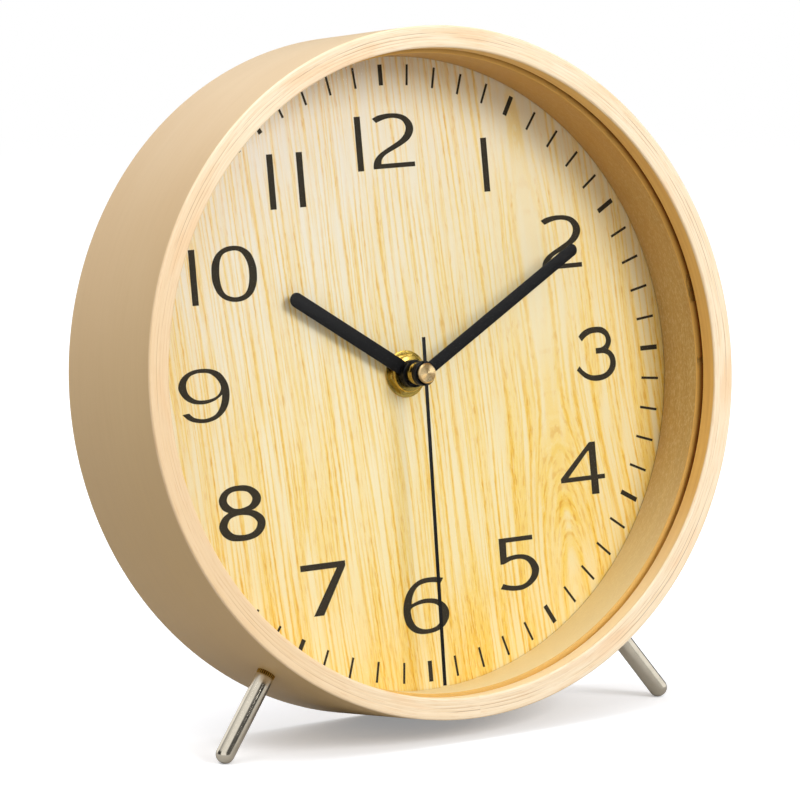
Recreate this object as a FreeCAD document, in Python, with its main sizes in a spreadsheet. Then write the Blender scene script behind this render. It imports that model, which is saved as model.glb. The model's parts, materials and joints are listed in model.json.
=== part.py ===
import FreeCAD, Part
import math
import os

import Sketcher
from FreeCAD import Placement, Rotation, Vector

# A round wooden table clock on two metal pegs.
# Every piece is drawn in the clock's own frame: X to 3 o'clock, Y to 12 o'clock, Z out of the face,
# with the middle of the front rim at zero. One placement, STAND, then leans the clock back on its
# pegs and its rear bottom edge, with the floor at Z = 0.

DRIVING = {
    # Drum and what is seated in it from behind
    "case_radius": 101.5,
    "case_depth": 48.0,
    "lip_width": 6.5,
    "lip_depth": 6.2,
    "seat_step": 2.5,
    "front_round": 1.2,
    "rear_round": 1.0,
    "seat_play": 0.2,
    "glass_thickness": 2.0,
    "spacer_width": 3.3,
    "spacer_depth": 17.1,
    "face_thickness": 0.4,
    "board_thickness": 3.0,
    "hoop_width": 3.5,
    "hoop_depth": 6.0,
    # Pegs and their threaded inserts
    "peg_angle": 36.7,
    "peg_level": 18.2,
    "peg_radius": 2.75,
    "peg_length": 28.4,
    "collar_height": 1.2,
    "insert_depth": 6.5,
    "stud_radius": 1.5,
    "stud_length": 6.0,
    # Fits shared by mating pieces
    "running_fit": 0.05,
    "push_fit": 0.02,
    "hole_play": 0.15,
    "end_play": 0.1,
    "hand_gap": 0.2,
    # Bush, nut and washers that hold the movement to the board
    "bush_radius": 4.0,
    "bush_flange_radius": 5.5,
    "bush_flange": 0.5,
    "bush_proud": 0.85,
    "washer_radius": 7.0,
    "washer_thickness": 0.4,
    "nut_across_flats": 11.0,
    "nut_thickness": 1.3,
    "nut_turn": 4.1,
    "gasket_radius": 9.0,
    "gasket_thickness": 0.8,
    # Hands
    "hour_angle": 303.6,
    "hour_length": 47.0,
    "hour_width": 4.4,
    "hour_boss_radius": 4.1,
    "hour_boss_height": 2.75,
    "hour_blade_rise": 0.05,
    "minute_angle": 60.2,
    "minute_length": 66.6,
    "minute_width": 3.7,
    "minute_boss_radius": 3.7,
    "minute_boss_height": 1.9,
    "minute_blade_rise": 0.95,
    "collet_radius": 3.3,
    "collet_height": 3.2,
    "blade_thickness": 0.5,
    "second_angle": 181.2,
    "second_tip_gap": 1.7,
    "second_tail": 10.7,
    "second_width": 1.1,
    "second_disc_radius": 2.7,
    "needle_thickness": 0.3,
    "cap_radius": 3.0,
    "cap_height": 1.0,
    "cap_bevel": 0.4,
    "cap_bore_depth": 0.6,
    # Movement housing
    "movement_side": 56.0,
    "movement_depth": 16.5,
    "shell_wall": 1.2,
    "shell_corner": 3.0,
    "bay_wall": 0.8,
    "bay_play": 0.3,
    "plate_thickness": 1.2,
    "plate_play": 0.2,
    "post_radius": 1.5,
    "post_inset": 1.9,
    # Battery and contacts
    "battery_radius": 7.25,
    "battery_length": 50.5,
    "battery_nub_radius": 2.7,
    "battery_nub": 1.0,
    "contact_thickness": 0.3,
    "contact_height": 6.0,
    "contact_leaf": 8.0,
    "contact_reach": 2.8,
    "contact_notch": 1.0,
    # Wheel train
    "wheel_thickness": 1.0,
    "layer_gap": 0.7,
    "second_arbor_radius": 0.5,
    "cannon_radius": 1.75,
    "hour_tube_wall": 0.7,
    "arbor_radius": 0.5,
    "fine_arbor_radius": 0.4,
    "boss_wall": 0.5,
    "third_distance": 11.52,
    "third_angle": 60.0,
    "intermediate_distance": 12.0,
    "intermediate_angle": 150.0,
    "rotor_distance": 8.16,
    "rotor_angle": 135.0,
    "transfer_distance": 12.0,
    "transfer_arbor_radius": 0.9,
    "clutch_radius": 3.6,
    "clutch_thickness": 0.2,
    "knob_radius": 6.0,
    "knob_thickness": 1.4,
    "knob_gap": 0.2,
    "knob_hub_radius": 2.0,
    # Motor and electronics
    "magnet_radius": 3.0,
    "magnet_height": 2.0,
    "magnet_bore": 0.9,
    "stator_gap": 0.5,
    "stator_thickness": 0.8,
    "stator_margin": 1.1,
    "stator_arm": 3.0,
    "coil_length": 13.0,
    "coil_rise": 11.1,
    "coil_radius": 3.0,
    "coil_tube_radius": 2.0,
    "coil_bore_radius": 1.62,
    "coil_flange": 0.6,
    "circuit_length": 23.0,
    "circuit_width": 4.9,
    "circuit_thickness": 0.8,
    "circuit_level": 7.8,
    "circuit_post_inset": 3.0,
    "chip_radius": 2.0,
    "chip_height": 0.8,
    "crystal_radius": 1.0,
    "crystal_length": 6.0,
}

# Tooth counts: rotor to second hand 30 to 1, second hand to centre wheel 60 to 1,
# minute hand to hour hand 12 to 1.
ROTOR_TEETH = 8
INTERMEDIATE_TEETH = 60
INTERMEDIATE_PINION_TEETH = 15
SECOND_TEETH = 60
SECOND_PINION_TEETH = 8
THIRD_TEETH = 64
THIRD_PINION_TEETH = 8
CENTRE_TEETH = 60
CANNON_TEETH = 12
TRANSFER_TEETH = 36
TRANSFER_PINION_TEETH = 10
HOUR_TEETH = 40
KNOB_FLUTES = 30

# Tooth shape, as shares of the module and of one tooth's pitch
ADDENDUM = 0.8
DEDENDUM = 1.2
TIP_SHARE = 0.09
ROOT_SHARE = 0.27

doc = FreeCAD.newDocument("table_clock")
sheet = doc.addObject("Spreadsheet::Sheet", "sizes")
for row, (alias, number) in enumerate(DRIVING.items(), start=1):
    sheet.set(f"A{row}", alias)
    sheet.set(f"B{row}", str(number))
    sheet.setAlias(f"B{row}", alias)
doc.recompute()


class Size:
    """A size with its number and the sheet expression that it comes from."""

    def __init__(self, number, words):
        self.number = number
        self.words = words

    def __add__(self, other):
        return Size(self.number + number_of(other), f"({self.words} + {words_of(other)})")

    def __sub__(self, other):
        return Size(self.number - number_of(other), f"({self.words} - {words_of(other)})")

    def __mul__(self, other):
        return Size(self.number * number_of(other), f"({self.words} * {words_of(other)})")

    def __truediv__(self, other):
        return Size(self.number / number_of(other), f"({self.words} / {words_of(other)})")

    def __neg__(self):
        return Size(-self.number, f"(-{self.words})")


def number_of(value):
    return value.number if isinstance(value, Size) else value


def words_of(value):
    return value.words if isinstance(value, Size) else repr(float(value))


def sine(angle):
    return Size(math.sin(math.radians(number_of(angle))), f"sin({words_of(angle)})")


def cosine(angle):
    return Size(math.cos(math.radians(number_of(angle))), f"cos({words_of(angle)})")


def size(alias):
    return Size(float(sheet.get(alias)), f"sizes.{alias}")


# Radii and levels that several pieces share, all worked out from the sheet
zero = Size(0.0, "0.0")
lip_radius = size("case_radius") - size("lip_width")
seat_radius = lip_radius + size("seat_step")
disc_radius = seat_radius - size("seat_play")
liner_radius = disc_radius - size("spacer_width")
second_length = liner_radius - size("second_tip_gap")
lip_back = -size("lip_depth")
glass_back = lip_back - size("glass_thickness")
dial_front = glass_back - size("spacer_depth")
board_front = dial_front - size("face_thickness")
board_back = board_front - size("board_thickness")
bush_hole = size("bush_radius") + size("hole_play")

washer_front = dial_front + size("washer_thickness")
nut_front = washer_front + size("nut_thickness")
bush_front = nut_front + size("bush_proud")
hour_boss_back = bush_front + size("hand_gap")
hour_boss_front = hour_boss_back + size("hour_boss_height")
collet_back = hour_boss_front + size("hand_gap")
minute_boss_back = collet_back + size("collet_height")
minute_boss_front = minute_boss_back + size("minute_boss_height")
needle_back = minute_boss_front + size("hand_gap")
needle_front = needle_back + size("needle_thickness")
cap_front = needle_front + size("cap_height")

cannon_bore = size("second_arbor_radius") + size("running_fit")
hour_tube_bore = size("cannon_radius") + size("running_fit")
hour_tube_radius = hour_tube_bore + size("hour_tube_wall")
bush_bore = hour_tube_radius + size("running_fit")

shell_front = board_back - size("gasket_thickness")
shell_inside = shell_front - size("shell_wall")
housing_back = shell_front - size("movement_depth")
cover_front = housing_back + size("shell_wall")
half_side = size("movement_side") / 2
half_inside = half_side - size("shell_wall")
battery_start = -half_inside + size("contact_reach")
battery_end = battery_start + size("battery_length")
right_inside = battery_end + size("contact_thickness")
right_side = right_inside + size("shell_wall")
bay_centre = -half_inside + size("bay_play") + size("battery_radius")
bay_top = bay_centre + size("battery_radius") + size("bay_play")
chamber_bottom = bay_top + size("bay_wall")
flange_back = shell_inside - size("bush_flange")
layer_pitch = size("wheel_thickness") + size("layer_gap")


def layer_front(index):
    """Front of a wheel layer: 0 hour, 1 cannon, 2 centre, 3 third, 4 second, 5 rotor."""
    return flange_back - size("end_play") - layer_pitch * index


def layer_back(index):
    return layer_front(index) - size("wheel_thickness")


plate_front = layer_front(6)
plate_back = plate_front - size("plate_thickness")
magnet_front = layer_front(3) - size("end_play")
magnet_back = magnet_front - size("magnet_height")
stator_front = (magnet_front + magnet_back + size("stator_thickness")) / 2
stator_back = stator_front - size("stator_thickness")
core_back = stator_back - size("stator_thickness")
contact_front = stator_front + size("contact_height") / 3
contact_back = contact_front - size("contact_height")
circuit_front = shell_inside - size("circuit_level")
circuit_back = circuit_front - size("circuit_thickness")


def polar(distance, angle, origin=(zero, zero)):
    return (origin[0] + distance * cosine(angle), origin[1] + distance * sine(angle))


CENTRE = (zero, zero)
THIRD = polar(size("third_distance"), size("third_angle"))
INTERMEDIATE = polar(size("intermediate_distance"), size("intermediate_angle"))
ROTOR = polar(size("rotor_distance"), size("rotor_angle"), INTERMEDIATE)
TRANSFER = (size("transfer_distance"), zero)

# The coil lies beside the rotor, and the circuit board in the corner over it
coil_line = ROTOR[1] + size("coil_rise")
coil_left = ROTOR[0] - size("coil_length") / 2 + size("stator_margin")
coil_right = coil_left + size("coil_length")
arm_left = coil_left - size("stator_arm")
arm_right = coil_right + size("stator_arm")
circuit_right = right_inside - size("contact_thickness")
circuit_left = circuit_right - size("circuit_length")
circuit_top = half_inside - size("contact_thickness")
circuit_middle = circuit_top - size("circuit_width") / 2

# The clock stands on the round ends of its pegs and on the rear bottom edge of the drum, which is
# rounded too. The lean is where those three touch one plane.
peg_axis_radius = size("case_radius") + size("collar_height")
peg_end = (peg_axis_radius + size("peg_length") - size("peg_radius")).number
drop = peg_end * cosine(size("peg_angle")).number - DRIVING["case_radius"] + DRIVING["rear_round"]
reach = DRIVING["case_depth"] - DRIVING["rear_round"] - DRIVING["peg_level"]
round_step = DRIVING["peg_radius"] - DRIVING["rear_round"]
LEAN = math.degrees(math.atan2(drop, reach) + math.asin(round_step / math.hypot(drop, reach)))


def stand_placement():
    """Leans the clock back by LEAN, sets it on the floor and centres its depth on the origin."""
    lean = math.radians(LEAN)
    front_middle = DRIVING["case_radius"] - DRIVING["front_round"]
    rear_middle = DRIVING["case_radius"] - DRIVING["rear_round"]
    front = -front_middle * math.sin(lean) + DRIVING["front_round"] * (math.cos(lean) - 1)
    depth_to_round = DRIVING["case_depth"] - DRIVING["rear_round"]
    back = rear_middle * math.sin(lean) + depth_to_round * math.cos(lean) + DRIVING["rear_round"]
    rise = rear_middle * math.cos(lean) + depth_to_round * math.sin(lean) + DRIVING["rear_round"]
    turn = Rotation(Vector(1, 0, 0), 90 - LEAN)
    return Placement(Vector(0, -(front + back) / 2, rise), turn)


STAND = stand_placement()
pieces = []


def keep(item, label, turn=Placement()):
    """Names a finished piece, stands it up and adds it to the list that is written out."""
    item.Label = label
    item.Placement = STAND.multiply(turn)
    pieces.append(item)
    return item


def hand_turn(angle):
    return Placement(Vector(), Rotation(Vector(0, 0, 1), -size(angle).number))


def origin_plane(body, role):
    return next(feature for feature in body.Origin.OriginFeatures if feature.Role == role)


def new_sketch(body, role, level=None):
    sketch = body.newObject("Sketcher::SketchObject", "sketch")
    sketch.AttachmentSupport = (origin_plane(body, role), [""])
    sketch.MapMode = "FlatFace"
    if level is not None:
        sketch.setExpression("AttachmentOffset.Base.z", words_of(level))
    return sketch


def pin_point(sketch, geometry, end, corner):
    """Ties one point of a sketch to its place, one constraint for each axis."""
    for kind, value in zip(("DistanceX", "DistanceY"), corner):
        index = sketch.addConstraint(Sketcher.Constraint(kind, -1, 1, geometry, end, number_of(value)))
        if isinstance(value, Size):
            sketch.setExpression(f"Constraints[{index}]", value.words)


def add_outline(sketch, corners):
    """Adds a closed outline of straight edges through the corners."""
    points = [Vector(number_of(across), number_of(up), 0) for across, up in corners]
    first = sketch.GeometryCount
    count = len(points)
    for index in range(count):
        sketch.addGeometry(Part.LineSegment(points[index], points[(index + 1) % count]), False)
    for index in range(count):
        following = first + (index + 1) % count
        sketch.addConstraint(Sketcher.Constraint("Coincident", first + index, 2, following, 1))
    for index, corner in enumerate(corners):
        pin_point(sketch, first + index, 1, corner)


def add_circle(sketch, centre, radius):
    middle = Vector(number_of(centre[0]), number_of(centre[1]), 0)
    circle = Part.Circle(middle, Vector(0, 0, 1), number_of(radius))
    geometry = sketch.addGeometry(circle, False)
    pin_point(sketch, geometry, 3, centre)
    index = sketch.addConstraint(Sketcher.Constraint("Radius", geometry, number_of(radius)))
    sketch.setExpression(f"Constraints[{index}]", words_of(radius))


def box_corners(low, high):
    return [(low[0], low[1]), (high[0], low[1]), (high[0], high[1]), (low[0], high[1])]


def new_body(label, turn=Placement()):
    return keep(doc.addObject("PartDesign::Body", label), label, turn)


def extrude(body, kind, sketch, depth):
    """Pads or pockets a sketch towards the back of the clock and checks that the solid changed."""
    before = 0.0 if body.Tip is None else body.Shape.Volume
    feature = body.newObject(kind, "feature")
    feature.Profile = sketch
    feature.Reversed = kind == "PartDesign::Pad"
    feature.setExpression("Length", words_of(depth))
    doc.recompute()
    grew = body.Shape.Volume > before
    if grew != (kind == "PartDesign::Pad") or body.Shape.Volume == before:
        raise RuntimeError(f"{body.Label}: a feature changed nothing")
    return feature


def add_slab(body, front, back, outlines=(), circles=()):
    """Pads outlines and circles, all on one plane, from a front level to a back level."""
    sketch = new_sketch(body, "XY_Plane", front)
    for corners in outlines:
        add_outline(sketch, corners)
    for centre, radius in circles:
        add_circle(sketch, centre, radius)
    return extrude(body, "PartDesign::Pad", sketch, front - back)


def cut_slab(body, back, front, outlines=(), circles=()):
    """Pockets outlines and circles between a back level and a front level, from the back."""
    sketch = new_sketch(body, "XY_Plane", front)
    for corners in outlines:
        add_outline(sketch, corners)
    for centre, radius in circles:
        add_circle(sketch, centre, radius)
    return extrude(body, "PartDesign::Pocket", sketch, front - back)


def turned(label, corners, turn=Placement()):
    """A piece of revolution about Z: corners are (radius, level)."""
    body = new_body(label, turn)
    sketch = new_sketch(body, "XZ_Plane")
    add_outline(sketch, corners)
    revolution = body.newObject("PartDesign::Revolution", "revolution")
    revolution.Profile = sketch
    revolution.ReferenceAxis = (sketch, ["V_Axis"])
    revolution.Angle = 360
    doc.recompute()
    return body


def ring(label, inner, outer, front, back, turn=Placement()):
    return turned(label, [(inner, front), (outer, front), (outer, back), (inner, back)], turn)


def disc(label, radius, front, back):
    return ring(label, zero, radius, front, back)


def rounded(body, radius, chosen):
    """Fillets the edges of a body that the chosen test picks out."""
    tip = body.Tip
    names = [f"Edge{index}" for index, edge in enumerate(tip.Shape.Edges, start=1) if chosen(edge)]
    fillet = body.newObject("PartDesign::Fillet", "fillet")
    fillet.Base = (tip, names)
    fillet.setExpression("Radius", words_of(radius))
    doc.recompute()
    return fillet


def circle_edge(radius, level):
    """Picks circular edges about Z of one radius at one level."""
    def chosen(edge):
        curve = edge.Curve
        if not isinstance(curve, Part.Circle) or abs(curve.Axis.z) < 0.99:
            return False
        near_radius = abs(curve.Radius - number_of(radius)) < 1e-4
        return near_radius and abs(curve.Center.z - number_of(level)) < 1e-4
    return chosen


def upright_edge(edge):
    ends = [vertex.Point for vertex in edge.Vertexes]
    return len(ends) == 2 and (ends[0] - ends[1]).normalize().getAngle(Vector(0, 0, 1)) % math.pi < 1e-4


def peg_frame(side, radius):
    """A frame on a peg's axis at a radius from the clock's middle, with its Z pointing outward."""
    angle = math.radians(size("peg_angle").number)
    outward = Vector(side * math.sin(angle), -math.cos(angle), 0)
    return Placement(outward * number_of(radius) - Vector(0, 0, size("peg_level").number),
                     Rotation(Vector(0, 0, 1), outward))


def bore_for_insert(body, side):
    """Drills the blind hole of one peg's insert square to the drum's wall."""
    sketch = new_sketch(body, "XY_Plane")
    angle = size("peg_angle")
    start = size("case_radius") + size("collar_height")
    sketch.AttachmentOffset = peg_frame(side, start)
    sketch.setExpression("AttachmentOffset.Base.x", words_of(start * sine(angle) * side))
    sketch.setExpression("AttachmentOffset.Base.y", words_of(-(start * cosine(angle))))
    sketch.setExpression("AttachmentOffset.Base.z", words_of(-size("peg_level")))
    add_circle(sketch, CENTRE, size("peg_radius") + size("running_fit"))
    depth = size("collar_height") + size("insert_depth") + size("end_play")
    extrude(body, "PartDesign::Pocket", sketch, depth)


def build_case():
    drum = turned("case_drum", [
        (lip_radius, zero),
        (size("case_radius"), zero),
        (size("case_radius"), -size("case_depth")),
        (seat_radius, -size("case_depth")),
        (seat_radius, lip_back),
        (lip_radius, lip_back),
    ])
    rounded(drum, size("front_round"), circle_edge(size("case_radius"), zero))
    rounded(drum, size("rear_round"), circle_edge(size("case_radius"), -size("case_depth")))
    rounded(drum, size("front_round") / 2, circle_edge(lip_radius, zero))
    disc("glass_lens", disc_radius, lip_back, glass_back)
    spacer = ring("spacer_ring", liner_radius, disc_radius, glass_back, dial_front)
    for side in (-1, 1):
        bore_for_insert(drum, side)
        bore_for_insert(spacer, side)
    ring("dial_face", bush_hole, disc_radius, dial_front, board_front)
    ring("dial_board", bush_hole, disc_radius, board_front, board_back)
    hoop_back = board_back - size("hoop_depth")
    ring("retaining_hoop", disc_radius - size("hoop_width"), disc_radius, board_back, hoop_back)


def build_pegs():
    for name, side in (("left", -1), ("right", 1)):
        frame = peg_frame(side, peg_axis_radius)
        rod = doc.addObject("Part::Cylinder", "rod")
        rod.setExpression("Radius", "sizes.peg_radius")
        rod.setExpression("Height", "sizes.peg_length - sizes.peg_radius")
        end = doc.addObject("Part::Sphere", "rod_end")
        end.setExpression("Radius", "sizes.peg_radius")
        end.setExpression("Placement.Base.z", "sizes.peg_length - sizes.peg_radius")
        stud = doc.addObject("Part::Cylinder", "stud")
        stud.setExpression("Radius", "sizes.stud_radius")
        stud.setExpression("Height", "sizes.stud_length")
        stud.setExpression("Placement.Base.z", "-sizes.stud_length")
        peg = doc.addObject("Part::MultiFuse", "peg")
        peg.Shapes = [rod, end, stud]
        peg.Refine = True
        keep(peg, f"peg_{name}", frame)
        bore = size("stud_radius") + size("push_fit")
        bore_end = -(size("stud_length") + size("end_play"))
        insert_end = -(size("collar_height") + size("insert_depth"))
        turned(f"peg_insert_{name}", [
            (bore, zero),
            (size("peg_radius"), zero),
            (size("peg_radius"), insert_end),
            (zero, insert_end),
            (zero, bore_end),
            (bore, bore_end),
        ], frame)


def build_fastening():
    turned("threaded_bush", [
        (bush_bore, bush_front),
        (size("bush_radius"), bush_front),
        (size("bush_radius"), shell_inside),
        (size("bush_flange_radius"), shell_inside),
        (size("bush_flange_radius"), flange_back),
        (bush_bore, flange_back),
    ])
    ring("dial_washer", bush_hole, size("washer_radius"), washer_front, dial_front)
    ring("rubber_gasket", bush_hole, size("gasket_radius"), board_back, shell_front)
    nut = new_body("hex_nut")
    corner_radius = size("nut_across_flats") / 2 / cosine(30)
    hexagon = [polar(corner_radius, size("nut_turn") + 60 * index) for index in range(6)]
    bore = size("bush_radius") + size("push_fit")
    add_slab(nut, nut_front, washer_front, [hexagon], [(CENTRE, bore)])


def blade_hand(label, angle, length, width, boss_radius, bore, boss_span, blade_back):
    """A flat hand with a round end on a raised boss."""
    body = new_body(label, hand_turn(angle))
    boss_front, boss_back = boss_span
    add_slab(body, boss_front, boss_back, circles=[(CENTRE, size(boss_radius)), (CENTRE, bore)])
    blade_front = blade_back + size("blade_thickness")
    half = size(width) / 2
    start = (size(boss_radius) + bore) / 2
    end = size(length) - half
    add_slab(body, blade_front, blade_back, [box_corners((-half, start), (half, end))])
    add_slab(body, blade_front, blade_back, circles=[((zero, end), half)])


def build_hands():
    blade_hand("hour_hand", "hour_angle", "hour_length", "hour_width", "hour_boss_radius",
               hour_tube_radius + size("push_fit"), (hour_boss_front, hour_boss_back),
               hour_boss_back + size("hour_blade_rise"))
    minute_bore = size("cannon_radius") + size("push_fit")
    blade_hand("minute_hand", "minute_angle", "minute_length", "minute_width", "minute_boss_radius",
               minute_bore, (minute_boss_front, minute_boss_back),
               minute_boss_back + size("minute_blade_rise"))
    ring("minute_collet", minute_bore, size("collet_radius"), minute_boss_back, collet_back)
    needle = new_body("second_hand", hand_turn("second_angle"))
    bore = size("second_arbor_radius") + size("push_fit")
    half = size("second_width") / 2
    rim = size("second_disc_radius") - half
    disc_circles = [(CENTRE, size("second_disc_radius")), (CENTRE, bore)]
    add_slab(needle, needle_front, needle_back, circles=disc_circles)
    blade = box_corners((-half, rim), (half, second_length))
    tail = box_corners((-half, -size("second_tail")), (half, -rim))
    add_slab(needle, needle_front, needle_back, [blade])
    add_slab(needle, needle_front, needle_back, [tail])
    bore_end = needle_front + size("cap_bore_depth")
    turned("second_cap", [
        (zero, cap_front),
        (size("cap_radius") - size("cap_bevel"), cap_front),
        (size("cap_radius"), cap_front - size("cap_bevel")),
        (size("cap_radius"), needle_front),
        (bore, needle_front),
        (bore, bore_end),
        (zero, bore_end),
    ])


def post_places():
    right = right_inside - size("post_inset")
    left = -half_inside + size("post_inset")
    low = chamber_bottom + size("post_inset")
    return [(right, low), (left, low), (right, THIRD[1] + size("post_inset") * 2),
            (left, INTERMEDIATE[1] - size("post_inset"))]


def stator_posts():
    low = ROTOR[1] - size("magnet_radius")
    left = ROTOR[0] - size("magnet_radius") - size("stator_gap") - size("stator_margin")
    right = (coil_right + size("stator_arm") / 2, coil_line - size("coil_radius"))
    return [(left - size("stator_margin") / 2, low), right]


def circuit_posts():
    inset = size("circuit_post_inset")
    return [(circuit_left + inset, circuit_middle), (circuit_right - inset, circuit_middle)]


def build_housing():
    shell = new_body("movement_shell")
    outer = box_corners((-half_side, -half_side), (right_side, half_side))
    add_slab(shell, shell_front, cover_front, [outer])
    rounded(shell, size("shell_corner"), upright_edge)
    corner = size("shell_corner")
    bay_outer = box_corners((-half_side, -half_side + corner), (right_side, chamber_bottom))
    foot = box_corners((-half_side + corner, -half_side), (right_side - corner, -half_side + corner))
    add_slab(shell, cover_front, housing_back, [bay_outer])
    add_slab(shell, cover_front, housing_back, [foot])
    chamber = box_corners((-half_inside, chamber_bottom), (right_inside, half_inside))
    bay = box_corners((-half_inside, -half_inside), (right_inside, bay_top))
    cut_slab(shell, housing_back, shell_inside, [chamber])
    cut_slab(shell, housing_back, shell_inside, [bay])
    slot = size("contact_thickness") + size("plate_play")
    slot_foot = bay_top - size("contact_notch")
    slot_top = chamber_bottom + size("contact_notch")
    left_slot = box_corners((-half_inside, slot_foot), (-half_inside + slot, slot_top))
    right_slot = box_corners((right_inside - slot, slot_foot), (right_inside, slot_top))
    cut_slab(shell, cover_front, contact_front + size("plate_play"), [left_slot, right_slot])
    post_circles = [(place, size("post_radius")) for place in post_places()]
    add_slab(shell, shell_inside, plate_front, circles=post_circles)
    boss = size("arbor_radius") + size("running_fit") + size("boss_wall")
    fine_boss = size("fine_arbor_radius") + size("running_fit") + size("boss_wall")
    add_slab(shell, shell_inside, layer_back(1) - size("end_play"), circles=[(THIRD, boss)])
    add_slab(shell, shell_inside, layer_front(4) + size("layer_gap"), circles=[(INTERMEDIATE, fine_boss)])
    add_slab(shell, shell_inside, magnet_front + size("hand_gap"), circles=[(ROTOR, fine_boss)])
    stator_circles = [(place, fine_boss) for place in stator_posts()]
    add_slab(shell, shell_inside, stator_front, circles=stator_circles)
    board_posts = [(place, fine_boss) for place in circuit_posts()]
    add_slab(shell, shell_inside, circuit_front, circles=board_posts)
    fine_hole = size("fine_arbor_radius") + size("running_fit")
    hole = size("arbor_radius") + size("running_fit")
    cut_slab(shell, housing_back, shell_inside, circles=[(THIRD, hole)])
    cut_slab(shell, housing_back, shell_inside, circles=[(INTERMEDIATE, fine_hole), (ROTOR, fine_hole)])
    front_holes = [(CENTRE, size("bush_radius") + size("running_fit")), (TRANSFER, hole)]
    cut_slab(shell, shell_inside, shell_front, circles=front_holes)

    cover = new_body("movement_cover")
    cover_outline = box_corners((-half_side, chamber_bottom), (right_side, half_side))
    knob_hole = size("knob_hub_radius") + size("running_fit")
    add_slab(cover, cover_front, housing_back, [cover_outline], [(TRANSFER, knob_hole)])
    top_edge = half_side.number
    rounded(cover, size("shell_corner"),
            lambda edge: upright_edge(edge) and abs(edge.Vertexes[0].Y - top_edge) < 1e-4)

    plate = new_body("train_plate")
    play = size("plate_play")
    low = (-half_inside + play, chamber_bottom + play)
    outline = box_corners(low, (right_inside - play, half_inside - play))
    holes = [(CENTRE, cannon_bore), (THIRD, hole), (INTERMEDIATE, fine_hole), (ROTOR, fine_hole)]
    holes.append((TRANSFER, size("transfer_arbor_radius") + size("running_fit")))
    add_slab(plate, plate_front, plate_back, [outline], holes)


def build_motor():
    stator = new_body("stator")
    ring_radius = size("magnet_radius") + size("stator_gap")
    low = ROTOR[1] - ring_radius - size("stator_margin")
    high = ROTOR[1] + ring_radius + size("stator_margin")
    top = coil_line + size("stator_arm") / 2
    arch = [
        (arm_left, low),
        (arm_right, low),
        (arm_right, top),
        (coil_right, top),
        (coil_right, high),
        (coil_left, high),
        (coil_left, top),
        (arm_left, top),
    ]
    add_slab(stator, stator_front, stator_back, [arch], [(ROTOR, ring_radius)])
    core = new_body("coil_core")
    half_bar = size("stator_arm") / 2
    bar = box_corners((arm_left, coil_line - half_bar), (arm_right, coil_line + half_bar))
    add_slab(core, stator_back, core_back, [bar])
    core_middle = (stator_back + core_back) / 2
    coil_start = Vector(coil_left.number, coil_line.number, core_middle.number)
    coil_axis = Placement(coil_start, Rotation(Vector(0, 1, 0), 90))
    flange = size("coil_flange")
    length = size("coil_length") - size("plate_play")
    start = size("plate_play")
    turned("coil_bobbin", [
        (size("coil_bore_radius"), start),
        (size("coil_radius"), start),
        (size("coil_radius"), start + flange),
        (size("coil_tube_radius"), start + flange),
        (size("coil_tube_radius"), length - flange),
        (size("coil_radius"), length - flange),
        (size("coil_radius"), length),
        (size("coil_bore_radius"), length),
    ], coil_axis)
    winding_inner = size("coil_tube_radius") + size("push_fit")
    winding_outer = size("coil_radius") - size("hole_play")
    winding_span = (start + flange, length - flange)
    ring("coil_winding", winding_inner, winding_outer, *winding_span, coil_axis)


def build_circuit():
    board = new_body("circuit_board")
    low = (circuit_left, circuit_top - size("circuit_width"))
    add_slab(board, circuit_front, circuit_back, [box_corners(low, (circuit_right, circuit_top))])
    middle = (circuit_right - size("circuit_length") / 2, circuit_middle)
    chip = new_body("circuit_chip")
    add_slab(chip, circuit_back, circuit_back - size("chip_height"), circles=[(middle, size("chip_radius"))])
    crystal = doc.addObject("Part::Cylinder", "crystal")
    crystal.setExpression("Radius", "sizes.crystal_radius")
    crystal.setExpression("Height", "sizes.crystal_length")
    start = Vector((middle[0] - size("crystal_length") / 2).number, middle[1].number,
                   (circuit_front + size("crystal_radius")).number)
    keep(crystal, "quartz_crystal", Placement(start, Rotation(Vector(0, 1, 0), 90)))


def build_battery():
    centre_level = shell_inside - size("plate_play") - size("battery_radius")
    start = Vector(battery_start.number, bay_centre.number, centre_level.number)
    shoulder = size("battery_length") - size("battery_nub")
    turned("battery_cell", [
        (zero, zero),
        (size("battery_radius"), zero),
        (size("battery_radius"), shoulder),
        (size("battery_nub_radius"), shoulder),
        (size("battery_nub_radius"), size("battery_length")),
        (zero, size("battery_length")),
    ], Placement(start, Rotation(Vector(0, 1, 0), 90)))
    thin = size("contact_thickness")
    foot = bay_centre - size("contact_leaf") / 2
    positive = new_body("contact_positive")
    strip = box_corners((right_inside - thin, foot), (right_inside, half_inside))
    add_slab(positive, contact_front, contact_back, [strip])
    negative = new_body("contact_negative")
    leaf = [
        (-half_inside, foot),
        (-half_inside + thin, foot),
        (battery_start, bay_centre - thin),
        (battery_start, bay_centre + thin),
        (-half_inside + thin, bay_centre + size("contact_leaf") / 2),
        (-half_inside + thin, half_inside - thin),
        (circuit_left + size("contact_leaf") / 2, half_inside - thin),
        (circuit_left + size("contact_leaf") / 2, half_inside),
        (-half_inside, half_inside),
    ]
    add_slab(negative, contact_front, contact_back, [leaf])


def tooth_points(teeth, module, phase):
    """Corners of a gear outline with straight-sided teeth; phase is one tooth's angle in degrees."""
    pitch_radius = module * teeth / 2
    points = []
    for index in range(teeth):
        middle = phase + 360 * index / teeth
        for share, radius in ((-ROOT_SHARE, pitch_radius - DEDENDUM * module),
                              (-TIP_SHARE, pitch_radius + ADDENDUM * module),
                              (TIP_SHARE, pitch_radius + ADDENDUM * module),
                              (ROOT_SHARE, pitch_radius - DEDENDUM * module)):
            angle = math.radians(middle + share * 360 / teeth)
            points.append(Vector(radius * math.cos(angle), radius * math.sin(angle), 0))
    return points


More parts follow.
